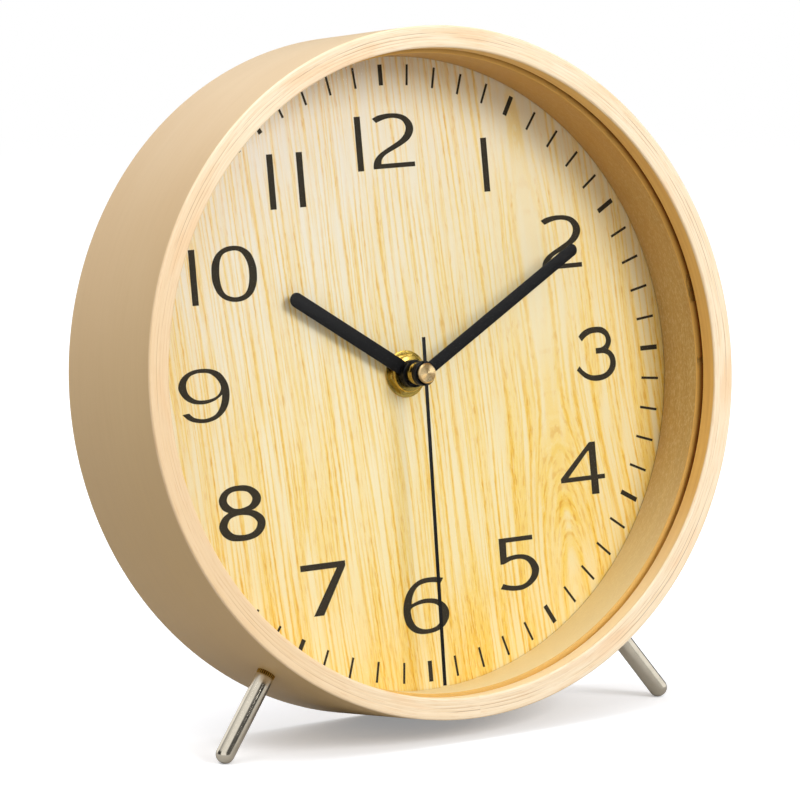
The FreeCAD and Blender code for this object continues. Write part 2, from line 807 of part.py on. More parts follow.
def gear_solid(teeth, module, phase, front, back):
    corners = tooth_points(teeth, module, phase)
    outline = Part.makePolygon(corners + corners[:1])
    prism = Part.Face(outline).extrude(Vector(0, 0, number_of(back) - number_of(front)))
    prism.translate(Vector(0, 0, number_of(front)))
    return prism


def rod_solid(radius, front, back):
    height = number_of(front) - number_of(back)
    return Part.makeCylinder(number_of(radius), height, Vector(0, 0, number_of(back)))


def place_of(spot):
    return Vector(number_of(spot[0]), number_of(spot[1]), 0)


def meshing_phase(first, first_phase, first_teeth, second, second_teeth):
    """Phase of the second gear, in degrees, that puts a gap where the first one's tooth points."""
    step = place_of(second) - place_of(first)
    line = math.degrees(math.atan2(step.y, step.x))
    return line + 180 + 180 / second_teeth + (line - first_phase) * first_teeth / second_teeth


def module_for(distance, first_teeth, second_teeth):
    return 2 * number_of(distance) / (first_teeth + second_teeth)


def geared(label, spot, solids, bore=None):
    """One moulded wheel: its discs, pinion and pivots joined, then bored, at its place."""
    shape = solids[0].multiFuse(solids[1:]) if len(solids) > 1 else solids[0]
    if bore is not None:
        shape = shape.cut(bore)
    feature = doc.addObject("Part::Feature", label)
    feature.Shape = shape.removeSplitter()
    return keep(feature, label, Placement(place_of(spot), Rotation()))


def build_train():
    pivot_back = plate_back + size("end_play")
    collar = size("arbor_radius") + size("hole_play") * 2
    fine_collar = size("fine_arbor_radius") + size("hole_play") * 2
    second_module = module_for(size("third_distance"), SECOND_PINION_TEETH, THIRD_TEETH)
    centre_module = module_for(size("third_distance"), THIRD_PINION_TEETH, CENTRE_TEETH)
    slow_module = module_for(size("intermediate_distance"), INTERMEDIATE_PINION_TEETH, SECOND_TEETH)
    fast_module = module_for(size("rotor_distance"), ROTOR_TEETH, INTERMEDIATE_TEETH)
    motion_module = module_for(size("transfer_distance"), CANNON_TEETH, TRANSFER_TEETH)
    hour_module = module_for(size("transfer_distance"), TRANSFER_PINION_TEETH, HOUR_TEETH)

    far = plate_back - size("movement_depth")
    second_bore = rod_solid(size("second_arbor_radius") + size("push_fit"), zero, far)
    geared("second_wheel", CENTRE, [
        gear_solid(SECOND_PINION_TEETH, second_module, 0, layer_front(3), layer_front(4)),
        gear_solid(SECOND_TEETH, slow_module, 0, layer_front(4), layer_back(4)),
        rod_solid(collar + size("hole_play"), layer_back(4), plate_front + size("hand_gap")),
    ], second_bore)
    geared("second_arbor", CENTRE, [
        rod_solid(size("second_arbor_radius"), needle_front + size("cap_bore_depth"), pivot_back),
    ])

    third_phase = meshing_phase(CENTRE, 0, SECOND_PINION_TEETH, THIRD, THIRD_TEETH)
    boss_back = layer_back(1) - size("end_play")
    geared("third_wheel", THIRD, [
        rod_solid(size("arbor_radius"), boss_back + size("layer_gap"), pivot_back),
        gear_solid(THIRD_PINION_TEETH, centre_module, 0, layer_front(2), layer_front(3)),
        gear_solid(THIRD_TEETH, second_module, third_phase, layer_front(3), layer_back(3)),
        rod_solid(collar, layer_back(3), plate_front + size("hand_gap")),
    ])
    centre_phase = meshing_phase(THIRD, 0, THIRD_PINION_TEETH, CENTRE, CENTRE_TEETH)
    cannon_hole = rod_solid(size("cannon_radius") + size("running_fit"), zero, far)
    geared("centre_wheel", CENTRE, [
        gear_solid(CENTRE_TEETH, centre_module, centre_phase, layer_front(2), layer_back(2)),
    ], cannon_hole)

    pinion_phase = meshing_phase(CENTRE, 0, SECOND_TEETH, INTERMEDIATE, INTERMEDIATE_PINION_TEETH)
    geared("intermediate_wheel", INTERMEDIATE, [
        rod_solid(size("fine_arbor_radius"), layer_front(4) + layer_pitch, pivot_back),
        rod_solid(fine_collar, layer_front(4) + size("layer_gap") - size("hand_gap"), layer_front(4)),
        gear_solid(INTERMEDIATE_PINION_TEETH, slow_module, pinion_phase, layer_front(4), layer_front(5)),
        gear_solid(INTERMEDIATE_TEETH, fast_module, 0, layer_front(5), layer_back(5)),
        rod_solid(fine_collar, layer_back(5), plate_front + size("hand_gap")),
    ])
    rotor_phase = meshing_phase(INTERMEDIATE, 0, INTERMEDIATE_TEETH, ROTOR, ROTOR_TEETH)
    geared("rotor_pinion", ROTOR, [
        rod_solid(size("fine_arbor_radius"), magnet_front + size("layer_gap") * 2, pivot_back),
        rod_solid(size("magnet_bore"), magnet_front, magnet_back - size("hand_gap")),
        rod_solid(fine_collar, magnet_back, layer_front(5)),
        gear_solid(ROTOR_TEETH, fast_module, rotor_phase, layer_front(5), layer_back(5)),
    ])
    magnet = new_body("rotor_magnet")
    magnet_circles = [(ROTOR, size("magnet_radius")), (ROTOR, size("magnet_bore") + size("push_fit"))]
    add_slab(magnet, magnet_front, magnet_back, circles=magnet_circles)

    cannon_back = layer_back(2) - size("running_fit") - size("clutch_thickness") - size("hand_gap") / 2
    geared("cannon_pinion", CENTRE, [
        rod_solid(size("cannon_radius"), minute_boss_front - size("hand_gap"), cannon_back),
        gear_solid(CANNON_TEETH, motion_module, 0, layer_front(1), layer_back(1)),
    ], rod_solid(cannon_bore, zero, far))
    clutch_front = layer_back(2) - size("running_fit")
    ring("clutch_washer", size("cannon_radius") + size("push_fit"), size("clutch_radius"),
         clutch_front, clutch_front - size("clutch_thickness"))
    transfer_phase = meshing_phase(CENTRE, 0, CANNON_TEETH, TRANSFER, TRANSFER_TEETH)
    arbor_back = housing_back - size("knob_gap")
    geared("transfer_wheel", TRANSFER, [
        rod_solid(size("arbor_radius"), shell_front - size("hand_gap"), layer_front(0)),
        gear_solid(TRANSFER_PINION_TEETH, hour_module, 0, layer_front(0), layer_front(1)),
        gear_solid(TRANSFER_TEETH, motion_module, transfer_phase, layer_front(1), layer_back(1)),
        rod_solid(size("transfer_arbor_radius"), layer_back(1), arbor_back),
    ])
    hour_phase = meshing_phase(TRANSFER, 0, TRANSFER_PINION_TEETH, CENTRE, HOUR_TEETH)
    geared("hour_wheel", CENTRE, [
        rod_solid(hour_tube_radius, hour_boss_front - size("hand_gap"), layer_back(0)),
        gear_solid(HOUR_TEETH, hour_module, hour_phase, layer_front(0), layer_back(0)),
    ], rod_solid(hour_tube_bore, zero, far))

    knob_front = arbor_back
    flute_module = 2 * size("knob_radius").number / (KNOB_FLUTES + 2 * ADDENDUM)
    arbor_hole = rod_solid(size("transfer_arbor_radius") + size("push_fit"), zero, arbor_back)
    geared("setting_knob", TRANSFER, [
        rod_solid(size("knob_hub_radius"), cover_front, arbor_back),
        gear_solid(KNOB_FLUTES, flute_module, 0, knob_front, knob_front - size("knob_thickness")),
    ], arbor_hole)


def check_and_write():
    doc.recompute()
    for item in doc.Objects:
        if "Invalid" in item.State or "Error" in item.State:
            raise RuntimeError(f"{item.Label} did not rebuild: {item.State}")
    os.makedirs("parts", exist_ok=True)
    for piece in pieces:
        shape = piece.Shape
        if shape.isNull() or not shape.isValid() or not shape.Solids:
            raise RuntimeError(f"{piece.Label} has no sound solid")
        shape.exportStep(f"parts/{piece.Label}.step")
    print(f"{len(pieces)} pieces, lean {LEAN:.2f} degrees, origin at {STAND.Base}")


build_case()
build_pegs()
build_fastening()
build_hands()
build_housing()
build_motor()
build_circuit()
build_battery()
build_train()
check_and_write()
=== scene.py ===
import json
import math

import bmesh
import bpy
from mathutils import Matrix, Vector


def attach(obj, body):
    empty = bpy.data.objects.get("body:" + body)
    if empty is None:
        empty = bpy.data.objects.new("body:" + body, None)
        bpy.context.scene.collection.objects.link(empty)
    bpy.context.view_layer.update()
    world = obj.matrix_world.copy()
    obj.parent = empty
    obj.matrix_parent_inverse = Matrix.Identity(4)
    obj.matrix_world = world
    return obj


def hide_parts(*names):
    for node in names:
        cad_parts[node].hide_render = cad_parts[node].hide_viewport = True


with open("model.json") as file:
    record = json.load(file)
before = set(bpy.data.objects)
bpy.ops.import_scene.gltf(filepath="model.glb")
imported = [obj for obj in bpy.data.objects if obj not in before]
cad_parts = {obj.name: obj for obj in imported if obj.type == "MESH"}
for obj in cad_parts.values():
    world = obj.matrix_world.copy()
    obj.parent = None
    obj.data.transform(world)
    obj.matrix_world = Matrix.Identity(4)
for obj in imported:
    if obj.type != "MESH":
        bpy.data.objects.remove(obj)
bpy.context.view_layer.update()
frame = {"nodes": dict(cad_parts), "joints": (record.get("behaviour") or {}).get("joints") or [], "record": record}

MM = 0.001

# The clock leans back a little. Its own frame has the dial's axis as Z, twelve o'clock as Y and
# the middle of the front rim as its zero, so that every size below reads as it does on the clock.
# All its joints turn about that one axis, so any of them gives it.
any_joint = frame["joints"][0]
OUT = -Vector(any_joint["axis"]).normalized()
ACROSS = Vector((1, 0, 0))
UP = OUT.cross(ACROSS)
ON_AXIS = Vector(any_joint["pos_m"])
RIM = max((v.co - ON_AXIS).dot(OUT) for v in frame["nodes"]["case_drum"].data.vertices)
CLOCK = Matrix.Translation(ON_AXIS + OUT * RIM) @ Matrix((ACROSS, UP, OUT)).transposed().to_4x4()
INTO_CLOCK = CLOCK.inverted()


class Measured:
    """What a CAD node measures in the clock's frame, in mm."""

    def __init__(self, node):
        self.points = [INTO_CLOCK @ v.co / MM for v in frame["nodes"][node].data.vertices]
        self.radii = [p.xy.length for p in self.points]
        self.outer = max(self.radii)
        self.inner = min(self.radii)
        self.front = max(p.z for p in self.points)
        self.back = min(p.z for p in self.points)
        self.tip = max(self.points, key=lambda p: p.xy.length)


# Camera, as fitted to the photograph: turned about the clock's axes, in degrees, and set off in mm.
CAMERA_TURN = 32.51
CAMERA_TIP = -0.55
CAMERA_ROLL = 5.38
CAMERA_SET_OFF = Vector((15.2, 8.0, -1433.6))
PICTURE_WIDTH = 800
FOCAL_PIXELS = 4910
SENSOR = 36.0

camera = bpy.data.cameras.new("camera")
camera.sensor_width = SENSOR
camera.lens = FOCAL_PIXELS / PICTURE_WIDTH * SENSOR
camera.clip_start = 0.05
camera.clip_end = 60
viewer = bpy.data.objects.new("camera", camera)
bpy.context.scene.collection.objects.link(viewer)
seen_from = Matrix.Translation(CAMERA_SET_OFF * MM)
for degrees, axis in ((CAMERA_TURN, "Y"), (CAMERA_TIP, "X"), (CAMERA_ROLL, "Z")):
    seen_from = seen_from @ Matrix.Rotation(math.radians(degrees), 4, axis)
viewer.matrix_world = CLOCK @ seen_from.inverted()
bpy.context.scene.camera = viewer


class Shade:
    """A socket of a material, so that sums of sockets read as plain Python."""

    def __init__(self, socket):
        self.socket = socket

    def is_wide(self):
        return self.socket.type in ("VECTOR", "RGBA")

    def work(self, operation, *others):
        tree = self.socket.id_data
        wide = self.is_wide() or any(isinstance(o, Shade) and o.is_wide() for o in others)
        node = tree.nodes.new("ShaderNodeVectorMath" if wide else "ShaderNodeMath")
        node.operation = operation
        for slot, value in enumerate((self, *others)):
            if isinstance(value, Shade):
                tree.links.new(value.socket, node.inputs[slot])
            elif wide and isinstance(value, (int, float)):
                node.inputs[slot].default_value = (value,) * 3
            else:
                node.inputs[slot].default_value = value
        return Shade(node.outputs[0])

    def __add__(self, other):
        return self.work("ADD", other)

    def __sub__(self, other):
        return self.work("SUBTRACT", other)

    def __mul__(self, other):
        return self.work("MULTIPLY", other)

    def __pow__(self, other):
        return self.work("POWER", other)

    def __radd__(self, other):
        return self + other

    def __rmul__(self, other):
        return self * other

    def __rsub__(self, other):
        return self * -1 + other


class Mixing:
    """A node tree, cleared and ready for new nodes."""

    def __init__(self, owner):
        owner.use_nodes = True
        self.tree = owner.node_tree
        self.tree.nodes.clear()

    def node(self, kind, settings=None, inputs=None, output=0):
        node = self.tree.nodes.new(kind)
        for name, value in (settings or {}).items():
            setattr(node, name, value)
        for name, value in (inputs or {}).items():
            socket = node.inputs[name]
            if isinstance(value, Shade):
                self.tree.links.new(value.socket, socket)
            elif socket.type == "RGBA" and len(value) == 3:
                socket.default_value = (*value, 1)
            else:
                socket.default_value = value
        return Shade(node.outputs[output]) if len(node.outputs) else node

    def spread(self, value, low, high, to_low=0.0, to_high=1.0):
        """A smooth step of value from low to high."""
        inputs = {0: value, 1: low, 2: high, 3: to_low, 4: to_high}
        return self.node("ShaderNodeMapRange", {"interpolation_type": "SMOOTHSTEP"}, inputs)

    def blend(self, share, first, second):
        """Colours first and second, with share of the second."""
        inputs = {"Factor": share, 6: first, 7: second}
        return self.node("ShaderNodeMix", {"data_type": "RGBA"}, inputs, output=2)

    def apart(self, vector):
        """The three parts of a vector."""
        split = self.node("ShaderNodeSeparateXYZ", inputs={0: vector}).socket.node
        return [Shade(socket) for socket in split.outputs]


class Finish(Mixing):
    """A material and the nodes that make it, with the place on the piece in mm."""

    def __init__(self, name):
        self.material = bpy.data.materials.new(name)
        super().__init__(self.material)
        self.sheet = self.node("ShaderNodeOutputMaterial")
        self.place = self.node("ShaderNodeTexCoord", output="Object") * (1 / MM)
        self.x, self.y, self.z = self.apart(self.place)
        self.radius = (self.x * self.x + self.y * self.y) ** 0.5

    def noise(self, size, detail=3.0, stretch=(1, 1, 1), at=None):
        """Noise from 0 to 1 with lumps about size mm across, stretched along each direction."""
        spot = (at or self.place) * tuple(1 / (size * s) for s in stretch)
        inputs = {"Vector": spot, "Scale": 1.0, "Detail": detail}
        return self.node("ShaderNodeTexNoise", {}, inputs)

    def join(self, x, y, z):
        return self.node("ShaderNodeCombineXYZ", {}, {0: x, 1: y, 2: z})

    def around(self):
        """The angle about the clock's axis, in turns."""
        return self.x.work("ARCTAN2", self.y) * (1 / math.tau)

    def line(self, value, at, half, soft):
        """1 where value is within half of at, and 0 beyond half and soft."""
        gap = (value - at).work("ABSOLUTE")
        return self.spread(gap, half, half + soft, 1.0, 0.0)

    def relief(self, height, depth):
        """A bump of depth mm for a height from 0 to 1."""
        inputs = {"Height": height, "Distance": depth * MM, "Strength": 1.0}
        return self.node("ShaderNodeBump", {}, inputs)

    def surface(self, **inputs):
        named = {key.replace("_", " "): value for key, value in inputs.items()}
        bright = self.node("ShaderNodeBsdfPrincipled", {}, named)
        self.tree.links.new(bright.socket, self.sheet.inputs["Surface"])
        return self.material


def linear(code):
    """A colour as seen on the screen, six hexadecimal digits, as light."""
    parts = [int(code[i:i + 2], 16) / 255 for i in (0, 2, 4)]
    return tuple(p / 12.92 if p <= 0.04045 else ((p + 0.055) / 1.055) ** 2.4 for p in parts)


# Wood

DRUM_GIRTH = 640
LINER_GIRTH = 600
RIM_COLOUR_DEPTH = 1.1
LIP_OUTER = 98.4
# Glue lines in the rim: radius and half width in mm, colour and strength. The first few are open
# enough to leave a groove.
GLUE_LINES = (
    (99.15, 0.05, "8a5a2c", 0.65),
    (98.05, 0.05, "a8713c", 0.6),
    (97.1, 0.04, "c08a50", 0.5),
    (96.3, 0.04, "c7955c", 0.35),
)
OPEN_LINES = 3


def bent_plywood():
    """The drum: a smooth veneer round the wall, and at the rim the edges of its bent layers."""
    wood = Finish("bent_plywood")
    rolled = wood.join(wood.around() * DRUM_GIRTH, wood.radius, wood.z)
    cloud = wood.noise(26, 3, (2.2, 1, 1), rolled)
    grain = wood.noise(1.1, 3, (26, 1, 1), rolled)
    pores = wood.noise(0.35, 2, (16, 1, 1), rolled)
    # Painted light and shade: the wall is painted lighter towards the top and darker towards the bottom, as if lit
    # from above.
    painted_top_light = wood.spread(wood.y, -60, 125)
    wall = wood.blend(painted_top_light, linear("cba76e"), linear("dcc49f"))
    # Painted shade: the wall is painted darker on its upper left, where it turns away from the light.
    shoulder = wood.spread(wood.x, -20, -85) * wood.spread(wood.y, -10, 60)
    wall = wood.blend(shoulder * 0.55, wall, linear("c4a06c"))
    # Painted light: a paler band along the very bottom of the wall, as light from the floor.
    wall = wood.blend(wood.spread(wood.y, -80, -101) * 0.6, wall, linear("f0cf98"))
    wall = wood.blend(wood.spread(cloud, 0.3, 0.7) * 0.35, wall, linear("c9a778"))
    wall = wood.blend(wood.spread(grain, 0.35, 0.75) * 0.1, wall, linear("b9986a"))
    wall = wood.blend(wood.spread(pores, 0.66, 0.8) * 0.1, wall, linear("a98a5a"))

    # The rim shows five layers of ply between thin glue lines that come and go.
    wander = (wood.noise(30, 2, (1, 1, 1)) - 0.5) * 0.7
    ring = wood.radius + wander
    edge_grain = wood.noise(0.5, 4, (30, 0.5, 1), rolled)
    patch = wood.noise(12, 2, (2.5, 0.6, 1), rolled)
    rim = wood.blend(wood.spread(edge_grain, 0.3, 0.75), linear("fbe8ca"), linear("f1d5ab"))
    rim = wood.blend(wood.spread(patch, 0.52, 0.7) * 0.5, rim, linear("f3c795"))
    for at, half, colour, share in GLUE_LINES:
        kept = wood.spread(wood.noise(9, 3, (3, 0.3, 1), rolled + (at * 7, 0, 0)), 0.4, 0.62)
        mark = wood.line(ring, at, half, 0.09) * kept
        rim = wood.blend(mark * share, rim, linear(colour))
    # Painted shade: the rim is painted darker and more golden towards its lower left.
    painted_low_left_shade = wood.spread(wood.x + wood.y * 0.3, -30, -105)
    rim = wood.blend(painted_low_left_shade * 0.65, rim, linear("e8c28e"))
    streak = wood.noise(0.55, 3, (12, 0.5, 1), rolled + (3, 17, 0))
    rim = wood.blend(wood.spread(streak, 0.56, 0.7) * 0.45, rim, linear("dcae7c"))
    fleck = wood.noise(0.6, 2, (5, 0.5, 1), rolled)
    rim = wood.blend(wood.spread(fleck, 0.72, 0.8) * 0.5, rim, linear("9c6a38"))

    # Inside the lip the wood is bare and more golden.
    lip = wood.blend(wood.spread(grain, 0.3, 0.8), linear("e8b968"), linear("dba85a"))
    # Painted light: the inside of the lip is painted paler towards the bottom, which faces up into the light.
    lip = wood.blend(wood.spread(wood.y, -35, -85) * 0.8, lip, linear("fde8c2"))
    inside = wood.spread(wood.radius, LIP_OUTER, LIP_OUTER + 0.5, 1.0, 0.0)
    inside = inside * wood.spread(wood.z, -RIM_COLOUR_DEPTH, -0.5, 1.0, 0.0)
    at_rim = wood.spread(wood.z, -RIM_COLOUR_DEPTH, -0.35)
    colour = wood.blend(at_rim, wood.blend(inside, wall, lip), rim)
    height = edge_grain * at_rim + grain * 0.4 + pores * 0.3
    return wood.surface(
        Base_Color=colour,
        Roughness=wood.spread(cloud, 0.2, 0.8, 0.42, 0.5),
        Normal=wood.relief(height, 0.03),
        Coat_Weight=0.12,
        Coat_Roughness=0.4,
    )


LINER = Measured("spacer_ring")


def liner_wood():
    """Thin veneer bent to a ring, with its grain and short pale pores along the ring."""
    wood = Finish("liner_wood")
    rolled = wood.join(wood.around() * LINER_GIRTH, wood.radius, wood.z)
    grain = wood.noise(0.8, 4, (30, 1, 1), rolled)
    pores = wood.noise(0.34, 2, (3, 0.8, 0.8), rolled)
    cloud = wood.noise(18, 2, (2, 1, 1), rolled)
    colour = wood.blend(grain, linear("d2ae6c"), linear("b48e4e"))
    colour = wood.blend(wood.spread(pores, 0.52, 0.62) * 0.45, colour, linear("e8d4a2"))
    colour = wood.blend(wood.spread(cloud, 0.4, 0.7) * 0.3, colour, linear("c99a56"))
    # Painted light and shade: the liner is painted paler towards the bottom, which faces up into the light, and
    # darker towards the top, which is in shade.
    colour = wood.blend(wood.spread(wood.y, -20, -90) * 0.8, colour, linear("fdebba"))
    colour = wood.blend(wood.spread(wood.y, 10, 80) * 0.6, colour, linear("c48a34"))

    # Its front face behind the glass is painted: a painted highlight at its inner edge, painted shade turning dark
    # brown towards the crevice at the glass's edge, and painted light towards the bottom.
    on_front = wood.spread(wood.z, LINER.front - 0.5, LINER.front - 0.15)
    edge = wood.blend(
        wood.spread(wood.radius, LINER.inner + 0.5, LINER.inner + 2.2), linear("eab75a"),
        linear("8c5412"),
    )
    edge = wood.blend(wood.spread(wood.y, -35, -75), edge, linear("eab95c"))
    colour = wood.blend(on_front, colour, edge)
    # Painted shadow: a dark brown line along the back of the liner, where it meets the dial.
    foot = wood.spread(wood.z, LINER.back + 0.2, LINER.back + 0.5, 1.0, 0.0)
    colour = wood.blend(foot * 0.7, colour, linear("5a3a10"))
    return wood.surface(
        Base_Color=colour, Roughness=0.5, Normal=wood.relief(grain + pores * 0.5, 0.03)
    )


GRAIN_TILT = math.radians(3.6)
# The print's nested arches: the upright line that they stand on, how wide the widest is, and the
# levels between which they close.
ARCH_LINE = 50
ARCH_WIDTH = 11
ARCH_FOOT = -92
ARCH_TOP = -14


def dial_veneer():
    """A matt print of pale oak: near-upright yellow grain that grows richer towards six o'clock."""
    wood = Finish("dial_veneer")
    side = wood.x * math.cos(GRAIN_TILT) + wood.y * math.sin(GRAIN_TILT)
    lift = wood.y * math.cos(GRAIN_TILT) - wood.x * math.sin(GRAIN_TILT)

    # At the lower right the grain closes in nested arches about one upright line.
    closing = wood.spread(lift, ARCH_FOOT, ARCH_TOP) * ARCH_WIDTH
    from_arch = side - ARCH_LINE
    off_arch = (from_arch * from_arch + closing * closing) ** 0.5
    nested = ARCH_LINE - off_arch
    faint = wood.spread(off_arch, 3, 12, 0.35, 1.0)
    sway = (wood.noise(60, 1, (1, 2.5, 1)) - 0.5) * 6
    shake = (wood.noise(7, 2, (1, 6, 1)) - 0.5) * 0.8
    ragged = (wood.noise(0.6, 2, (1, 5, 1)) - 0.5) * 0.4
    across = nested + sway + shake + ragged
    run = wood.join(across, lift, 0.0)

    # Thin lines stand side by side, each with a yellow glow, and come and go along their length.
    def lines(pitch, at, thin):
        """Thin lines and their glow, pitch mm apart, from the place at in the noise."""
        drift = wood.noise(pitch * 3, 1, (1, 25, 1), run + (at, at * 3, 0)) * 2.6
        wave = ((across * (1 / pitch) + drift) * math.tau).work("SINE")
        strength = wood.spread(wood.noise(pitch, 1, (1, 22, 1), run + (at * 2, at, 0)), 0.36, 0.64)
        return wood.spread(wave, thin, 1.0) * strength, wood.spread(wave, thin - 1.0, 0.9) * strength

    core, glow = lines(2.4, 0, 0.5)
    fine, fine_glow = lines(1.4, 13, 0.4)
    core = core * faint
    fine = fine * faint
    broad = wood.noise(5, 2, (1, 12, 1))
    dashes = wood.noise(0.42, 1, (1, 11, 1), run + (7, 31, 0))
    fibre = wood.noise(0.22, 2, (1, 5, 1))
    low = wood.spread(wood.y, 95, -85)
    corner = wood.spread(wood.x - wood.y, 10, 120)
    right = wood.spread(wood.x, -60, 90)

    paper = wood.blend(low, linear("f8f2e4"), linear("fcebb6"))
    paper = wood.blend(right * 0.55, paper, linear("f7e2a0"))
    tint = wood.spread(broad, 0.4, 0.64) * (low * 0.45 + corner * 0.35 + 0.08)
    paper = wood.blend(tint, paper, linear("fbd45e"))
    colour = wood.blend(glow * (low * 0.35 + corner * 0.15 + 0.3), paper, linear("fdd955"))
    colour = wood.blend(fine_glow * 0.4, colour, linear("fbdc74"))
    colour = wood.blend(fine * (low * 0.35 + 0.25), colour, linear("f5c948"))
    colour = wood.blend(core * (low * 0.4 + 0.36), colour, linear("efb632"))
    golden = glow * 0.4 + tint * 0.6
    colour = wood.blend(wood.spread(dashes, 0.55, 0.66) * golden, colour, linear("e2a22a"))
    colour = wood.blend(wood.spread(dashes, 0.46, 0.34) * golden * 0.6, colour, linear("fff0b4"))
    colour = wood.blend(wood.spread(fibre, 0.6, 0.74) * 0.25, colour, linear("fffaea"))
    return wood.surface(
        Base_Color=colour, Roughness=0.62, Normal=wood.relief(core + fibre * 0.5, 0.012)
    )


def fibreboard():
    """Pressed wood fibre at the back of the dial."""
    board = Finish("fibreboard")
    felt = board.noise(0.7, 4, (3, 1, 1))
    fleck = board.noise(0.4, 2, (1, 4, 1))
    blot = board.noise(14, 2)
    colour = board.blend(felt, linear("a17a4e"), linear("7d5a36"))
    colour = board.blend(board.spread(fleck, 0.64, 0.72) * 0.5, colour, linear("c9a677"))
    colour = board.blend(board.spread(blot, 0.4, 0.7) * 0.3, colour, linear("8c6840"))
    return board.surface(
        Base_Color=colour, Roughness=0.78, Normal=board.relief(felt + fleck, 0.06)
    )


# Metal and glass


def metal(name, pale, deep, rough, brushed=(1, 1, 1), turned_face=0.0, knurls=0):
    """Plated or bare metal with faint handling marks. A turned face gets the fan-shaped sheen of a lathe-cut end,
    as anisotropic gloss and as a painted reflection in its colour, and knurls get grime between them."""
    plate = Finish(name)
    smear = plate.noise(3.5, 3)
    scratch = plate.noise(0.12, 2, brushed)
    colour = plate.blend(smear, linear(pale), linear(deep))
    if turned_face:
        # Painted reflection: darker sectors and streaks round the axis stand for the fan of sheen on a turned
        # face.
        painted_sheen = (plate.around() * (math.tau * 3) + plate.noise(8, 1) * 3).work("SINE")
        fan = plate.noise(0.5, 2, at=plate.join(plate.around() * 30, 0.0, 0.0))
        share = plate.spread(painted_sheen, -0.4, 1.0) * 0.45 + plate.spread(fan, 0.4, 0.7) * 0.25
        colour = plate.blend(share, colour, linear("a67c3e"))
    if knurls:
        groove = (plate.around() * (math.tau * knurls)).work("COSINE")
        colour = plate.blend(plate.spread(groove, -0.6, 0.7), colour, linear("3a2a0c"))
    return plate.surface(
        Base_Color=colour,
        Metallic=1.0,
        Roughness=plate.spread(smear + scratch * 0.6, 0.5, 1.1, rough * 0.8, rough * 1.25),
        Anisotropic=turned_face,
        Normal=plate.relief(scratch, 0.004),
    )


def lens_glass():
    """Flat clear glass that hardly shows from the front and shines at a glancing angle."""
    glass = Finish("lens_glass")
    glance = glass.node("ShaderNodeLayerWeight", {}, {"Blend": 0.35}, output="Facing")
    film = glass.noise(40, 2)
    return glass.surface(
        Base_Color=linear("0c100e"),
        Roughness=glass.spread(film, 0.3, 0.7, 0.02, 0.05),
        IOR=1.5,
        Alpha=glance ** 3 * 0.5 + 0.015,
    )


def hand_paint():
    """Satin black paint over a stamped hand, with a fine grain in the film."""
    paint = Finish("black_hand_paint")
    film = paint.noise(0.25, 2)
    cloud = paint.noise(6, 2)
    colour = paint.blend(cloud, linear("08080a"), linear("0e0e10"))
    return paint.surface(
        Base_Color=colour, Roughness=paint.spread(film, 0.3, 0.7, 0.42, 0.54),
        Specular_IOR_Level=0.2,
        Normal=paint.relief(film, 0.004),
    )


def dial_ink():
    """Dark warm ink, with the paper's fibre showing through here and there."""
    ink = Finish("dial_ink")
    mottle = ink.noise(0.5, 3)
    gap = ink.noise(0.3, 2, (1, 5, 1))
    colour = ink.blend(mottle, linear("2e291e"), linear("3a3427"))
    colour = ink.blend(ink.spread(gap, 0.66, 0.76) * 0.3, colour, linear("4a4332"))
    return ink.surface(
        Base_Color=colour, Roughness=0.7, Specular_IOR_Level=0.2, Normal=ink.relief(mottle, 0.004)
    )


# Plastics, rubber and the parts inside


def plastic(name, pale, deep, rough, spark=0.3, depth=0.01):
    """Moulded plastic with a fine spark-worn texture and a cloudy tone."""
    body = Finish(name)
    texture = body.noise(spark, 3)
    tone = body.noise(9, 2)
    colour = body.blend(tone, linear(pale), linear(deep))
    return body.surface(
        Base_Color=colour,
        Roughness=body.spread(texture, 0.3, 0.7, rough - 0.06, rough + 0.06),
        Normal=body.relief(texture, depth),
    )


def striped(name, pale, deep, pitch, rough, metallic):
    """Fine even turns, as of wire on a bobbin."""
    wound = Finish(name)
    wave = (wound.x * (math.tau / pitch)).work("SINE") * 0.5 + 0.5
    tone = wound.noise(1.5, 2)
    colour = wound.blend(wave * 0.7 + tone * 0.3, linear(pale), linear(deep))
    return wound.surface(
        Base_Color=colour, Metallic=metallic, Roughness=rough, Normal=wound.relief(wave, 0.05)
    )


def sleeve():
    """The plain printed sleeve of a cell: dark, with a coppery band to its plus end and bare ends."""
    wrap = Finish("battery_sleeve")
    band = wrap.spread(wrap.z, 36.0, 36.15)
    ends = wrap.spread(wrap.z, 49.1, 49.15) + wrap.spread(wrap.z, 0.28, 0.32, 1.0, 0.0)
    scuff = wrap.noise(1.2, 3)
    colour = wrap.blend(band, linear("202226"), linear("b9854a"))
    colour = wrap.blend(wrap.spread(scuff, 0.64, 0.8) * 0.2, colour, linear("8f8f8f"))
    colour = wrap.blend(ends, colour, linear("c9cbcd"))
    return wrap.surface(
        Base_Color=colour,
        Metallic=wrap.spread(band * 0.7 + ends, 0.0, 1.0),
        Roughness=wrap.spread(scuff, 0.3, 0.7, 0.25, 0.4),
        Coat_Weight=0.4,
    )


